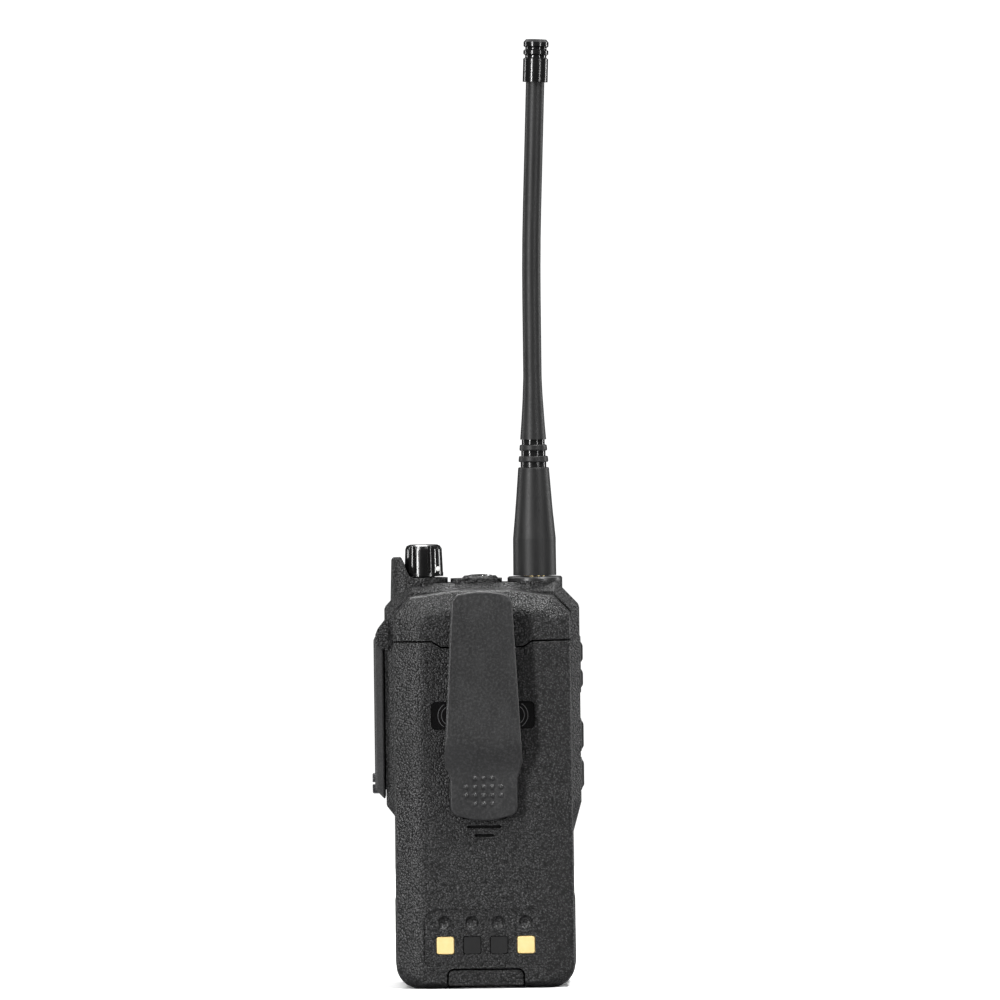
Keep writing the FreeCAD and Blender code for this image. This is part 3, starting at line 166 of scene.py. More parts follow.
def spark_grain(name, dark, light, grain_mm=0.6, depth_mm=0.15):
    """Moulded plastic from a spark-eroded tool: crowded small pips, with painted highlights on their tips and
    painted shade in the pits between them.
    """
    f = Finish(name, Specular_IOR_Level=0.3)
    f.soften(0.18)
    reach = f.cells(grain_mm)
    pips = f.math("SUBTRACT", 1.0, f.math("MULTIPLY", reach, reach))
    fine = f.noise(grain_mm * 0.55, detail=1.0, roughness=0.5)
    cloud = f.noise(22.0, detail=2.0)
    f.raise_by(f.math("ADD", pips, f.math("MULTIPLY", fine, 0.5)), depth_mm, 1.0)
    # speck paints the colour lighter on each pip's tip and darker in the pits between pips: painted highlight
    # and painted shade that follow the relief
    speck = f.math("MULTIPLY", f.spread(reach, 0.65, 0.1), f.spread(fine, 0.36, 0.64))
    tone = f.blend(speck, dark, light)
    f.colour(f.blend(f.spread(cloud, 0.35, 0.7, 0.0, 0.3), tone, dark))
    f.rough(f.math("ADD", f.spread(fine, 0.35, 0.65, 0.42, 0.3), f.spread(cloud, 0.3, 0.7, -0.02, 0.04)))
    return f.material


def satin(name, dark, light, roughness, speck_mm=0.9, depth_mm=0.012, **fixed):
    """Smooth moulded plastic or rubber with a soft bloom and fine handling marks."""
    f = Finish(name, **fixed)
    f.soften(0.25)
    cloud = f.noise(9.0, detail=4.0)
    speck = f.noise(speck_mm, detail=4.0, roughness=0.7)
    rub = f.noise(5.0, detail=5.0, roughness=0.75, stretch=(1.0, 1.0, 0.25))
    f.raise_by(speck, depth_mm, 0.6)
    tone = f.blend(f.spread(cloud, 0.3, 0.7), dark, light)
    f.colour(f.blend(f.spread(speck, 0.46, 0.68), tone, [min(1, 2.2 * c) for c in light[:3]] + [1]))
    f.rough(f.math("ADD", roughness, f.spread(rub, 0.35, 0.7, 0.05, -0.06)))
    return f.material


def polished(name, tone, roughness=0.09, **fixed):
    """Glossy moulded plastic with faint flow marks and hairline scratches."""
    f = Finish(name, **fixed)
    flow = f.noise(6.0, detail=2.0)
    hair = f.noise(0.35, detail=2.0, stretch=(1.0, 1.0, 0.04))
    f.raise_by(flow, 0.03, 0.25)
    f.colour(f.blend(f.spread(flow, 0.3, 0.7), tone, [min(1, 1.6 * c) for c in tone[:3]] + [1]))
    f.rough(f.math("ADD", roughness, f.spread(hair, 0.55, 0.8, 0.0, 0.12)))
    return f.material


def metal(name, tone, roughness, brush=(1.0, 1.0, 0.06), grain_mm=0.3, depth_mm=0.01):
    """Brushed, drawn or plated metal; brush gives the grain's stretch along X, Y and Z."""
    f = Finish(name, Metallic=1.0)
    grain = f.noise(grain_mm, detail=3.0, stretch=brush)
    cloud = f.noise(4.0, detail=3.0)
    f.raise_by(grain, depth_mm, 0.5)
    shade = [0.72 * c for c in tone[:3]] + [1]
    f.colour(f.blend(f.spread(cloud, 0.3, 0.7), tone, shade))
    f.rough(f.math("ADD", roughness, f.spread(grain, 0.3, 0.7, -0.06, 0.1)))
    return f.material


def gold_plate(name):
    """Bright gold flash with wipe marks from the charger's pins."""
    f = Finish(name, Metallic=0.5)
    wipe = f.noise(0.5, detail=3.0, stretch=(1.0, 1.0, 0.12))
    cloud = f.noise(2.2, detail=2.0)
    f.raise_by(wipe, 0.012, 0.5)
    f.colour(f.blend(f.spread(cloud, 0.3, 0.7), (0.9, 0.7, 0.33, 1), (0.88, 0.65, 0.27, 1)))
    f.rough(f.spread(wipe, 0.3, 0.75, 0.3, 0.46))
    return f.material


def clear(name, tint, roughness=0.02):
    """Clear moulded plastic or glass."""
    f = Finish(name, Transmission_Weight=1.0, IOR=1.46)
    smear = f.noise(5.0, detail=4.0)
    f.colour(f.blend(smear, tint, (1, 1, 1, 1)))
    f.rough(f.spread(smear, 0.45, 0.75, roughness, roughness + 0.04))
    f.raise_by(f.noise(8.0, detail=1.0), 0.02, 0.1)
    return f.material


def antenna_rubber(name, top_mm, foot_mm, axis_mm, core_mm):
    """Satin rubber whose grooves are left glossy: glossy where the surface is near the axis, in a band."""
    f = Finish(name, Specular_IOR_Level=0.32)
    speck = f.noise(0.5, detail=4.0, roughness=0.7)
    streak = f.noise(1.6, detail=3.0, stretch=(1.0, 1.0, 0.1))
    x, y, z = f.separate()
    across = f.math("SUBTRACT", x, axis_mm[0] * MM)
    deep = f.math("SUBTRACT", y, axis_mm[1] * MM)
    reach = f.math("SQRT", f.math("ADD", f.math("POWER", across, 2.0), f.math("POWER", deep, 2.0)))
    near = f.spread(reach, (core_mm - 0.12) * MM, (core_mm + 0.12) * MM, 1.0, 0.0)
    above = f.math("GREATER_THAN", z, foot_mm * MM)
    below = f.math("LESS_THAN", z, top_mm * MM)
    groove = f.math("MULTIPLY", near, f.math("MULTIPLY", above, below))
    f.raise_by(speck, 0.02, 0.6)
    tone = f.blend(f.spread(streak, 0.3, 0.7), grey(0.004), grey(0.01))
    f.colour(f.blend(groove, tone, grey(0.008)))
    matte = f.spread(speck, 0.3, 0.7, 0.4, 0.52)
    outside = f.math("MULTIPLY", f.math("SUBTRACT", 1.0, groove), matte)
    f.rough(f.math("ADD", outside, f.math("MULTIPLY", groove, 0.12)))
    return f.material


def circuit(name):
    """Green solder resist with copper tracks showing faintly through it."""
    f = Finish(name, Coat_Weight=0.6, Coat_Roughness=0.12)
    tracks = f.node("ShaderNodeTexBrick")
    tracks.inputs["Scale"].default_value = 260.0
    tracks.inputs["Mortar Size"].default_value = 0.03
    f.tree.links.new(f.place, tracks.inputs["Vector"])
    f.colour(f.blend(tracks.outputs["Fac"], (0.01, 0.11, 0.045, 1), (0.04, 0.24, 0.09, 1)))
    f.rough(f.spread(f.noise(2.0), 0.3, 0.7, 0.35, 0.5))
    f.raise_by(tracks.outputs["Fac"], 0.02, 0.5)
    return f.material


def crinkled_foil(name, tone):
    """Laminate pouch foil with soft creases."""
    f = Finish(name, Metallic=0.9)
    crease = f.noise(3.0, detail=6.0, roughness=0.7)
    f.raise_by(crease, 0.15, 0.6)
    f.colour(f.blend(crease, tone, [0.6 * c for c in tone[:3]] + [1]))
    f.rough(f.spread(crease, 0.3, 0.7, 0.3, 0.5))
    return f.material


def speaker_cloth(name):
    """Fine black woven cloth behind the speaker slots."""
    f = Finish(name, Sheen_Weight=0.3)
    x, _, z = f.separate()
    weft = f.math("SINE", f.math("MULTIPLY", x, 2 * math.pi / (0.45 * MM)))
    warp = f.math("SINE", f.math("MULTIPLY", z, 2 * math.pi / (0.45 * MM)))
    weave = f.math("MULTIPLY", weft, warp)
    f.raise_by(weave, 0.05, 1.0)
    f.colour(f.blend(f.spread(weave, -0.6, 0.8), grey(0.008), grey(0.05)))
    f.rough(f.spread(f.noise(1.0), 0.3, 0.7, 0.75, 0.9))
    return f.material


def liquid_crystal(name):
    """Grey-green reflective display with its fine dot pitch and a soft unevenness."""
    f = Finish(name, Coat_Weight=0.8, Coat_Roughness=0.05)
    cloud = f.noise(14.0, detail=2.0)
    x, _, z = f.separate()
    pitch = 2 * math.pi / (0.3 * MM)
    columns = f.math("SINE", f.math("MULTIPLY", x, pitch))
    rows = f.math("SINE", f.math("MULTIPLY", z, pitch))
    dots = f.math("MULTIPLY", columns, rows)
    base = f.blend(f.spread(cloud, 0.3, 0.7), (0.3, 0.36, 0.27, 1), (0.36, 0.42, 0.31, 1))
    f.colour(f.blend(f.spread(dots, 0.2, 1.0, 0.0, 0.12), base, (0.2, 0.25, 0.18, 1)))
    f.rough(f.spread(cloud, 0.3, 0.7, 0.35, 0.45))
    return f.material


def ink(name, tone):
    """Printed or moulded legend with slightly uneven cover."""
    f = Finish(name)
    patchy = f.noise(0.6, detail=4.0)
    f.colour(f.blend(f.spread(patchy, 0.35, 0.8), tone, [0.8 * c for c in tone[:3]] + [1]))
    f.rough(f.spread(patchy, 0.3, 0.7, 0.45, 0.6))
    return f.material


# ---------------------------------------------------------------- materials by the record's slot
SLEEVE_AXIS_MM = (-15.6, -5.0)
SLOTS = {
    "case_black": spark_grain("case_black", grey(0.001), grey(0.07)),
    "clip_plastic": satin("clip_plastic", grey(0.007), grey(0.014), 0.38, speck_mm=0.75, depth_mm=0.16,
                          Specular_IOR_Level=0.4),
    "cover_rubber": satin("cover_rubber", grey(0.012), grey(0.02), 0.55, speck_mm=0.4, depth_mm=0.03),
    "seal_rubber": satin("seal_rubber", grey(0.008), grey(0.014), 0.32),
    "screw_steel": metal("screw_steel", (0.32, 0.32, 0.33, 1), 0.38),
    "window_clear": clear("window_clear", (0.93, 0.97, 0.96, 1)),
    "display_glass": satin("display_frame", grey(0.02), grey(0.03), 0.5),
    "membrane": satin("membrane", (0.6, 0.6, 0.56, 1), (0.68, 0.68, 0.63, 1), 0.3),
    "speaker_paper": satin("speaker_paper", grey(0.02), grey(0.035), 0.8, speck_mm=0.5, depth_mm=0.05),
    "microphone_metal": metal("microphone_metal", (0.62, 0.62, 0.6, 1), 0.4),
    "circuit_board": circuit("circuit_board"),
    "shield_metal": metal("shield_metal", (0.62, 0.62, 0.6, 1), 0.34),
    "control_metal": metal("control_metal", (0.55, 0.55, 0.54, 1), 0.36),
    "gloss_black": polished("gloss_black", grey(0.004), 0.17),
    "lens_clear": clear("lens_clear", (0.12, 0.13, 0.14, 1)),
    "gold_contact": gold_plate("gold_contact"),
    "side_rubber": satin("side_rubber", grey(0.012), grey(0.02), 0.45, speck_mm=0.4, depth_mm=0.03),
    "switch_metal": metal("switch_metal", (0.6, 0.6, 0.58, 1), 0.35),
    "dark_steel": metal("dark_steel", (0.1, 0.1, 0.105, 1), 0.33, brush=(1.0, 0.1, 1.0)),
    "jack_plastic": polished("jack_plastic", grey(0.012), 0.25),
    "antenna_rubber": antenna_rubber("antenna_rubber", 158.6, 150.3, SLEEVE_AXIS_MM, 3.78),
    "spring_steel": metal("spring_steel", (0.5, 0.5, 0.52, 1), 0.28),
    "brass_insert": metal("brass_insert", (0.78, 0.6, 0.3, 1), 0.3, brush=(1.0, 1.0, 4.0)),
    "cell_foil": crinkled_foil("cell_foil", (0.68, 0.69, 0.71, 1)),
    "label_gloss": polished("label_gloss", grey(0.004), 0.12),
    "key_rubber": satin("key_rubber", grey(0.02), grey(0.03), 0.5, speck_mm=0.5, depth_mm=0.02),
}


def dress_frame():
    """Gives every CAD node its slot's finish."""
    for entry in frame["record"]["subparts"]:
        node = NODES[entry["node"]]
        node.data.materials.clear()
        node.data.materials.append(SLOTS[entry["material_slot"]])


# ---------------------------------------------------------------- mesh helpers
def piece(name, mesh, body, material):
    """A new visible piece that rides on a body."""
    mesh.materials.append(material)
    made = bpy.data.objects.new(name, mesh)
    bpy.context.scene.collection.objects.link(made)
    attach(made, body)
    return made


def mesh_from(name, build):
    """A mesh made by build(bm), with its normals facing out."""
    bm = bmesh.new()
    build(bm)
    bmesh.ops.recalc_face_normals(bm, faces=bm.faces)
    mesh = bpy.data.meshes.new(name)
    bm.to_mesh(mesh)
    bm.free()
    return mesh


def slab(bm, outline, near_y, far_y):
    """A closed flat plate: an outline of (x, z) points pulled from near_y to far_y."""
    near = [bm.verts.new((x, near_y, z)) for x, z in outline]
    far = [bm.verts.new((x, far_y, z)) for x, z in outline]
    bm.faces.new(near)
    bm.faces.new(far[::-1])
    for i, a in enumerate(near):
        j = (i + 1) % len(near)
        bm.faces.new((a, far[i], far[j], near[j]))


def frame_slab(bm, outer, inner, near_y, far_y):
    """A closed flat frame between two outlines with equally many points."""
    rings = []
    for outline, y in ((outer, near_y), (inner, near_y), (inner, far_y), (outer, far_y)):
        rings.append([bm.verts.new((x, y, z)) for x, z in outline])
    for k, ring in enumerate(rings):
        following = rings[(k + 1) % 4]
        for i in range(len(ring)):
            j = (i + 1) % len(ring)
            bm.faces.new((ring[i], ring[j], following[j], following[i]))


def rounded_outline(x, z, radius, steps=8):
    """A rounded rectangle between the (low, high) pairs x and z."""
    corners = ((x[1], z[1], 0), (x[0], z[1], 1), (x[0], z[0], 2), (x[1], z[0], 3))
    points = []
    for cx, cz, quarter in corners:
        mx = cx - radius if quarter in (0, 3) else cx + radius
        mz = cz - radius if quarter in (0, 1) else cz + radius
        for k in range(steps + 1):
            angle = math.pi / 2 * (quarter + k / steps)
            points.append((mx + radius * math.cos(angle), mz + radius * math.sin(angle)))
    return points


def turned(bm, profile, steps=48):
    """A closed solid turned about Z, from (radius, z) points that start and end on the axis."""
    rings = []
    for radius, z in profile:
        if radius == 0:
            rings.append([bm.verts.new((0, 0, z))])
            continue
        angles = [2 * math.pi * k / steps for k in range(steps)]
        rings.append([bm.verts.new((radius * math.cos(a), radius * math.sin(a), z)) for a in angles])
    for low, high in zip(rings, rings[1:]):
        for k in range(steps):
            j = (k + 1) % steps
            corners = [low[k % len(low)], low[j % len(low)], high[j % len(high)], high[k % len(high)]]
            bm.faces.new(list(dict.fromkeys(corners)))


def smooth(obj, degrees=35):
    """Smooth shading with crisp edges above an angle."""
    with bpy.context.temp_override(object=obj, active_object=obj, selected_editable_objects=[obj]):
        bpy.ops.object.shade_smooth_by_angle(angle=math.radians(degrees))


# ---------------------------------------------------------------- knob and torch details
def knob_dot():
    """The white pointer dot moulded into the knob's skirt."""
    low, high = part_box("volume_knob")
    centre = (low + high) / 2
    radius = (high.x - low.x) / 2
    angle = math.radians(138)
    out = Vector((math.cos(angle), math.sin(angle), 0))
    size = 0.8 * MM
    profile = [(0, -0.5 * MM), (size, -0.5 * MM), (size, 0.02 * MM), (size * 0.7, 0.1 * MM), (0, 0.14 * MM)]
    mesh = mesh_from("knob_dot", lambda bm: turned(bm, profile, 32))
    seat = Vector((centre.x, centre.y, low.z + 2.1 * MM)) + out * (radius - 0.12 * MM)
    mesh.transform(Matrix.Translation(seat) @ out.to_track_quat("Z", "Y").to_matrix().to_4x4())
    smooth(piece("knob_dot", mesh, "knob", ink("dot_white", (0.85, 0.85, 0.83, 1))))


def torch_reflector():
    """The bright bowl round the torch's lamp."""
    low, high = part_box("torch_lens")
    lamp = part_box("torch_led")[1]
    centre = (low + high) / 2
    floor_z, rim_z = lamp.z - 1.6 * MM, low.z - 0.1 * MM
    inner, outer = 1.7 * MM, 4.2 * MM
    steps = 7
    bowl = []
    for k in range(steps + 1):
        t = k / steps
        bowl.append((inner + (outer - inner) * t, floor_z + (rim_z - floor_z) * t**1.7))
    shell = 0.3 * MM
    profile = bowl + [(outer + shell, rim_z)] + [(r + shell * 0.4, z - shell) for r, z in bowl[::-1]]

    def build(bm):
        rings = []
        for radius, z in profile:
            ring = []
            for k in range(48):
                a = 2 * math.pi * k / 48
                x, y = centre.x + radius * math.cos(a), centre.y + radius * math.sin(a)
                ring.append(bm.verts.new((x, y, z)))
            rings.append(ring)
        for i, ring in enumerate(rings):
            following = rings[(i + 1) % len(rings)]
            for k in range(48):
                j = (k + 1) % 48
                bm.faces.new((ring[k], ring[j], following[j], following[k]))

    mirror = metal("reflector_mirror", (0.9, 0.9, 0.92, 1), 0.08, depth_mm=0.003)
    smooth(piece("torch_reflector", mesh_from("torch_reflector", build), "radio", mirror))


# ---------------------------------------------------------------- battery details
PAD_Z, PAD_PITCH = 12.6 * MM, 7.8 * MM
GRIP_GROOVES = ((49.6 * MM, 6.3 * MM), (46.9 * MM, 4.85 * MM), (44.4 * MM, 2.65 * MM))
STRIP_X = ((-13.5 * MM, -12.0 * MM), (12.0 * MM, 13.5 * MM))
STRIP_Z = (0.3 * MM, 99.6 * MM)


def contact_blanks():
    """Smooth square plugs in the two unused contact positions."""
    low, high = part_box("battery_contacts")
    face = high.y - 0.23 * MM
    middle_x = (low.x + high.x) / 2
    half = 2.4 * MM

    def build(bm):
        for side in (-1, 1):
            x = middle_x + side * PAD_PITCH / 2
            outline = rounded_outline((x - half, x + half), (PAD_Z - half, PAD_Z + half), 0.6 * MM, 5)
            slab(bm, outline, face - 0.05 * MM, face + 0.05 * MM)

    piece("contact_blanks", mesh_from("contact_blanks", build), "battery",
          polished("blank_black", grey(0.004), 0.3))


def groove_fillers():
    """Near-black strips at the bottom of the battery's grip grooves: painted shade that stands in for the
    grooves' shadow.
    """
    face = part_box("battery_shell")[1].y - 0.95 * MM

    def build(bm):
        for z, half in GRIP_GROOVES:
            outline = rounded_outline((-half, half), (z - 0.37 * MM, z + 0.37 * MM), 0.3 * MM, 4)
            slab(bm, outline, face - 0.1 * MM, face)

    # near-black and barely glossy, so the grooves read dark: painted shade
    groove_shade = satin("groove_painted_shade", grey(0.001), grey(0.002), 0.6, Specular_IOR_Level=0.1)
    piece("groove_fillers", mesh_from("groove_fillers", build), "battery", groove_shade)


def bay_strips():
    """Two thin near-black strips on the battery bay's plate, which close the slit beside the pack: painted
    shade standing in for the dark seam.
    """
    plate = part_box("front_shell")[1].y

    def build(bm):
        for x in STRIP_X:
            outline = rounded_outline(x, STRIP_Z, 0.4 * MM)
            slab(bm, outline, plate - 0.02 * MM, plate + 0.26 * MM)

    # near-black sheet in the seam beside the pack: painted shade
    seam_shade = satin("bay_painted_shade", grey(0.003), grey(0.006), 0.7, speck_mm=0.4, depth_mm=0.05)
    piece("bay_strips", mesh_from("bay_strips", build), "radio", seam_shade)


def latch_coils():
    """The latch springs, copied from the CAD part onto the battery in place of the hidden CAD part."""
    source = NODES["latch_springs"]
    mesh = source.data.copy()
    mesh.name = "latch_coils"
    mesh.transform(source.matrix_world)
    mesh.materials.clear()
    coils = piece("latch_coils", mesh, "battery", SLOTS["spring_steel"])
    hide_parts("latch_springs")
    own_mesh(coils)


def arc_outline(x, z, radius, width, side):
    """The outline of a thin arc about (x, z) that bulges towards side (-1 or 1)."""
    angles = [math.radians(-58 + 116 * k / 16) for k in range(17)]
    outer = [(x + side * (radius + width) * math.cos(a), z + (radius + width) * math.sin(a)) for a in angles]
    inner = [(x + side * radius * math.cos(a), z + radius * math.sin(a)) for a in angles]
    return outer + inner[::-1]


def label_marks():
    """Faint wave marks printed at both ends of the battery's label."""
    low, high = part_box("battery_label")
    middle = (low + high) / 2

    def build(bm):
        for side in (-1, 1):
            for radius in (2.7 * MM, 3.7 * MM):
                outline = arc_outline(middle.x + side * 9.2 * MM, middle.z, radius, 0.22 * MM, side)
                slab(bm, outline, high.y - 0.02 * MM, high.y + 0.03 * MM)

    wave_ink = ink("label_ink", grey(0.045))
    piece("label_marks", mesh_from("label_marks", build), "battery", wave_ink)


# ---------------------------------------------------------------- display
SEGMENTS = {
    "0": "abcdef", "1": "bc", "2": "abged", "3": "abgcd", "4": "fgbc", "5": "afgcd",
    "6": "afgedc", "7": "abc", "8": "abcdefg", "9": "abcdfg", " ": "",
}


def digit_bars(char, x, z, height):
    """The outlines of one seven-segment digit whose lower left corner is (x, z)."""
    width, thick = height * 0.52, height * 0.11
    lean = 0.08
    mid, top = height / 2, height
    spans = {
        "a": ((0, top), (width, top)), "g": ((0, mid), (width, mid)), "d": ((0, 0), (width, 0)),
        "f": ((0, mid), (0, top)), "b": ((width, mid), (width, top)),
        "e": ((0, 0), (0, mid)), "c": ((width, 0), (width, mid)),
    }
    bars = []
    for name in SEGMENTS[char]:
        (ax, az), (bx, bz) = spans[name]
        along = Vector((bx - ax, bz - az)).normalized()
        side = Vector((-along.y, along.x)) * thick / 2
        a = Vector((ax, az)) + along * thick * 0.15
        b = Vector((bx, bz)) - along * thick * 0.15
        tip = along * thick / 2
        hexagon = [a, a + tip + side, b - tip + side, b, b - tip - side, a + tip - side]
        bars.append([(x + p.x + p.y * lean, z + p.y) for p in hexagon])
    return bars


def display():
    """The liquid crystal panel with two lines of figures, a signal scale and a battery sign."""
    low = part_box("display_module")[0]
    pane_low, pane_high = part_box("display_window")
    half = 16.3 * MM
    z = (65.2 * MM, 80.3 * MM)
    face = low.y + 0.38 * MM
    outline = rounded_outline((-half, half), z, 0.6 * MM)
    panel = mesh_from("lcd_panel", lambda bm: slab(bm, outline, face, face + 0.3 * MM))
    piece("lcd_panel", panel, "radio", liquid_crystal("lcd_panel"))

    def figures(bm):
        top = face - 0.03 * MM
        for line, (text, height) in enumerate((("462 562", 4.1 * MM), ("154 600", 3.6 * MM))):
            x = -13.8 * MM
            base = (73.2 * MM, 67.2 * MM)[line]
            for char in text:
                for bar in digit_bars(char, x, base, height):
                    slab(bm, bar, top, face)
                x += height * (0.34 if char == " " else 0.78)
        for k in range(5):
            x = (8.0 + 1.1 * k) * MM
            slab(bm, [(x, 67.4 * MM), (x + 0.7 * MM, 67.4 * MM), (x + 0.7 * MM, (68.2 + 0.6 * k) * MM),
                      (x, (68.2 + 0.6 * k) * MM)], top, face)
        outer = rounded_outline((8.2 * MM, 13.2 * MM), (74.2 * MM, 76.8 * MM), 0.3 * MM, 3)
        inner = rounded_outline((8.6 * MM, 12.8 * MM), (74.6 * MM, 76.4 * MM), 0.15 * MM, 3)
        frame_slab(bm, outer, inner, top, face)
        for k in range(3):
            x = (8.9 + 1.25 * k) * MM
            slab(bm, rounded_outline((x, x + 0.95 * MM), (74.9 * MM, 76.1 * MM), 0.1 * MM, 2), top, face)
        (x0, x1), (z0, z1) = (13.2 * MM, 13.6 * MM), (75.0 * MM, 76.0 * MM)
        slab(bm, [(x0, z0), (x1, z0), (x1, z1), (x0, z1)], top, face)

    dark = ink("lcd_ink", (0.03, 0.04, 0.03, 1))
    piece("lcd_figures", mesh_from("lcd_figures", figures), "radio", dark)

    outer = rounded_outline((pane_low.x, pane_high.x), (pane_low.z, pane_high.z), 1.8 * MM)
    inner = rounded_outline((-half + 0.3 * MM, half - 0.3 * MM), (z[0] + 0.3 * MM, z[1] - 0.3 * MM), 0.8 * MM)
    back = pane_high.y
    near, far = back + 0.02 * MM, back + 0.12 * MM
    mask = mesh_from("window_mask", lambda bm: frame_slab(bm, outer, inner, near, far))
    piece("window_mask", mask, "radio", polished("mask_black", grey(0.006), 0.15))


# ---------------------------------------------------------------- speaker cloth and key legends
RAISED = 0.04 * MM


def speaker_strips():
    """The cloth seen in each speaker slot."""
    low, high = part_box("speaker")
    centre_z = (low.z + high.z) / 2
    reach = (high.x - low.x) / 2 - 0.5 * MM
    pitch, height, edge = 3.1 * MM, 1.5 * MM, 0.03 * MM
    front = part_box("front_shell")[0].y

    def build(bm):
        for row in range(-3, 4):
            half = math.sqrt(reach**2 - (row * pitch) ** 2) - edge
            z = centre_z + row * pitch
            span = (z - height / 2 + edge, z + height / 2 - edge)
            outline = rounded_outline((-half, half), span, height / 2 - 2 * edge, 6)
            slab(bm, outline, front + 1.1 * MM, front + 1.5 * MM)

    cloth = speaker_cloth("speaker_cloth")
    piece("speaker_cloth", mesh_from("speaker_cloth", build), "radio", cloth)


def legend_mesh(name, text, size):
    """Raised figures as a mesh, centred, facing -Y."""
    curve = bpy.data.curves.new(name, "FONT")
    curve.body = text
    curve.size = size
    curve.align_x = "CENTER"
    curve.align_y = "CENTER"
    curve.extrude = RAISED
    curve.resolution_u = 6
    holder = bpy.data.objects.new(name, curve)
    bpy.context.scene.collection.objects.link(holder)
    bpy.context.view_layer.update()
    mesh = bpy.data.meshes.new_from_object(holder)
    bpy.data.objects.remove(holder)
    mesh.transform(Matrix.Rotation(math.pi / 2, 4, "X"))
    return mesh


def sign_outlines(kind):
    """The outlines of a plain sign, in millimetres about its middle."""
    if kind == "menu":
        return [rounded_outline((-1.8, 1.8), (z - 0.22, z + 0.22), 0.2, 3) for z in (-1.1, 0.0, 1.1)]
    if kind == "up":
        return [[(-1.7, -0.9), (1.7, -0.9), (0.0, 1.3)]]
    if kind == "down":
        return [[(-1.7, 0.9), (0.0, -1.3), (1.7, 0.9)]]
    return [[(-1.5, 0.0), (0.3, 1.4), (0.3, 0.5), (1.7, 0.5), (1.7, -0.5), (0.3, -0.5), (0.3, -1.4)]]


def key_legends():
    """White figures and plain signs on the keypad."""
    white = ink("legend_white", (0.78, 0.78, 0.76, 1))
    texts = {str(n): str(n) for n in range(10)}
    texts.update({"star": "*", "hash": "#"})
    for name in sorted(n for n in NODES if n.startswith("key_")):
        short = name[4:]
        low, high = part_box(name)
        centre = Vector(((low.x + high.x) / 2, low.y, (low.z + high.z) / 2))
        if short in texts:
            mesh = legend_mesh("legend_" + short, texts[short], 5.0 * MM)
            if short == "star":
                mesh.transform(Matrix.Translation((0, 0, -0.9 * MM)))
        else:
            outlines = [[(x * MM, z * MM) for x, z in line] for line in sign_outlines(short)]
            mesh = mesh_from("legend_" + short, lambda bm: [slab(bm, o, -RAISED, RAISED) for o in outlines])
        mesh.transform(Matrix.Translation(centre))
        piece("legend_" + short, mesh, "keypad_" + short, white)


# ---------------------------------------------------------------- studio
AROUND = 0.03
SOFTBOXES = (
    ("overhead", (-0.1, -0.7, 1.3), (-0.1, -0.7, 0.0), 2.4, 1.7, 16.0),
    ("roof", (-0.25, -0.25, 1.15), (0.0, 0.0, 0.1), 0.3, 0.1, 3.5),
    ("top_left", (0.55, 0.65, 0.98), (0.0, 0.0, 0.1), 0.24, 0.1, 7.0),
    ("top_right", (-0.4, 0.45, 1.1), (0.0, 0.0, 0.1), 0.24, 0.1, 16.0),
    ("key_left", (0.7, 1.0, 0.36), (0.0, 0.0, 0.12), 0.1, 0.8, 14.0),
    ("key_right", (-0.8, 0.9, 0.3), (0.0, 0.0, 0.12), 0.08, 0.8, 4.5),
    ("rim_left", (1.15, -0.5, 0.35), (0.0, 0.0, 0.12), 0.12, 0.8, 4.0),
    ("rim_right", (-1.15, -0.5, 0.35), (0.0, 0.0, 0.12), 0.12, 0.8, 6.0),
    ("front", (0.2, -0.9, 1.2), (0.0, 0.0, 0.12), 0.6, 0.5, 9.0),
)
LENS_MM, SENSOR_MM = 300, 36
AZIMUTH, ELEVATION, ROLL = math.radians(180.0), math.radians(1.0), math.radians(0.7)
AIM = Vector((-0.0057, 0.010, 0.1412))
DISTANCE = 2.417


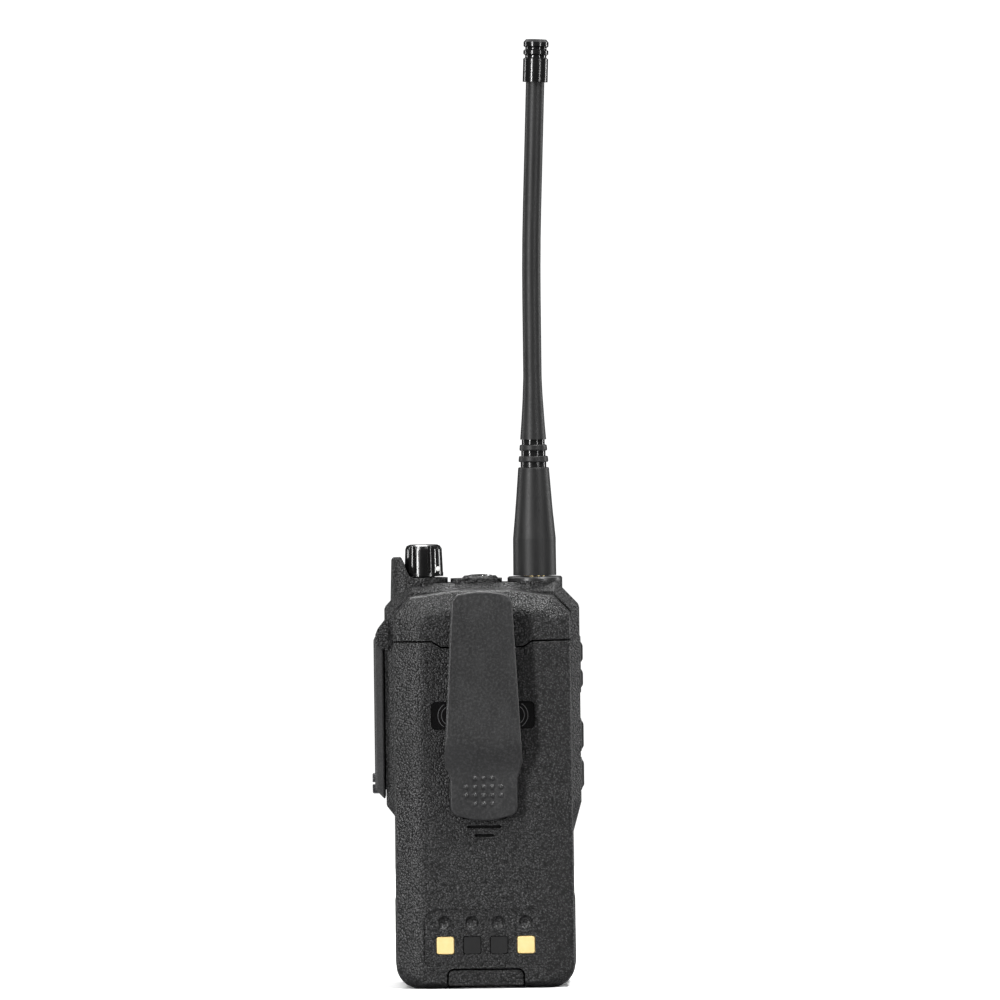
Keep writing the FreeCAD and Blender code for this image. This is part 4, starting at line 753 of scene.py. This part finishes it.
def studio():
    """A plain pale floor, a white surround and the softboxes; the floor lights the radio as mid grey."""
    floor = bpy.data.objects.new("floor", mesh_from("floor", floor_grid))
    bpy.context.scene.collection.objects.link(floor)
    f = Finish("floor_paper")
    seen = f.node("ShaderNodeLightPath").outputs["Is Camera Ray"]
    pale = f.blend(f.noise(300.0), (0.87, 0.87, 0.87, 1), (0.89, 0.89, 0.89, 1))
    f.colour(f.blend(seen, grey(0.3), pale))
    f.rough(f.spread(f.noise(40.0), 0.3, 0.7, 0.8, 0.9))
    floor.data.materials.append(f.material)

    world = bpy.data.worlds.new("studio")
    bpy.context.scene.world = world
    world.use_nodes = True
    tree = world.node_tree
    around = tree.nodes["Background"]
    around.inputs["Strength"].default_value = AROUND
    seen = tree.nodes.new("ShaderNodeBackground")
    seen.inputs["Strength"].default_value = 1.1
    for background in (around, seen):
        background.inputs["Color"].default_value = (1, 1, 1, 1)
    mix = tree.nodes.new("ShaderNodeMixShader")
    path = tree.nodes.new("ShaderNodeLightPath")
    tree.links.new(path.outputs["Is Camera Ray"], mix.inputs[0])
    tree.links.new(around.outputs[0], mix.inputs[1])
    tree.links.new(seen.outputs[0], mix.inputs[2])
    tree.links.new(mix.outputs[0], tree.nodes["World Output"].inputs["Surface"])

    for name, place, target, width, height, power in SOFTBOXES:
        light = bpy.data.lights.new(name, "AREA")
        light.shape = "RECTANGLE"
        light.size, light.size_y = width, height
        light.energy = power
        lamp = bpy.data.objects.new(name, light)
        lamp.location = place
        lamp.rotation_euler = (Vector(target) - Vector(place)).to_track_quat("-Z", "Y").to_euler()
        bpy.context.scene.collection.objects.link(lamp)
    bpy.context.scene.view_settings.view_transform = "Standard"


def floor_grid(bm):
    """A flat sheet, reaching further behind the radio than in front."""
    bmesh.ops.create_grid(bm, x_segments=8, y_segments=8, size=1.0)
    bmesh.ops.scale(bm, vec=(0.55, 0.45, 1.0), verts=bm.verts)
    bmesh.ops.translate(bm, vec=(0.0, -0.1, 0.0), verts=bm.verts)



def camera():
    """A long lens behind the radio, a little above its middle, turned a degree."""
    data = bpy.data.cameras.new("camera")
    data.lens = LENS_MM
    data.sensor_width = SENSOR_MM
    eye = bpy.data.objects.new("camera", data)
    level = math.cos(ELEVATION)
    back = Vector((math.sin(AZIMUTH) * level, -math.cos(AZIMUTH) * level, math.sin(ELEVATION)))
    eye.location = AIM + back * DISTANCE
    look = (-back).to_track_quat("-Z", "Y").to_matrix().to_4x4()
    eye.rotation_euler = (look @ Matrix.Rotation(-ROLL, 4, "Z")).to_euler()
    bpy.context.scene.collection.objects.link(eye)
    bpy.context.scene.camera = eye


dress_frame()
knob_dot()
torch_reflector()
contact_blanks()
groove_fillers()
bay_strips()
latch_coils()
label_marks()
display()
speaker_strips()
key_legends()
studio()
camera()
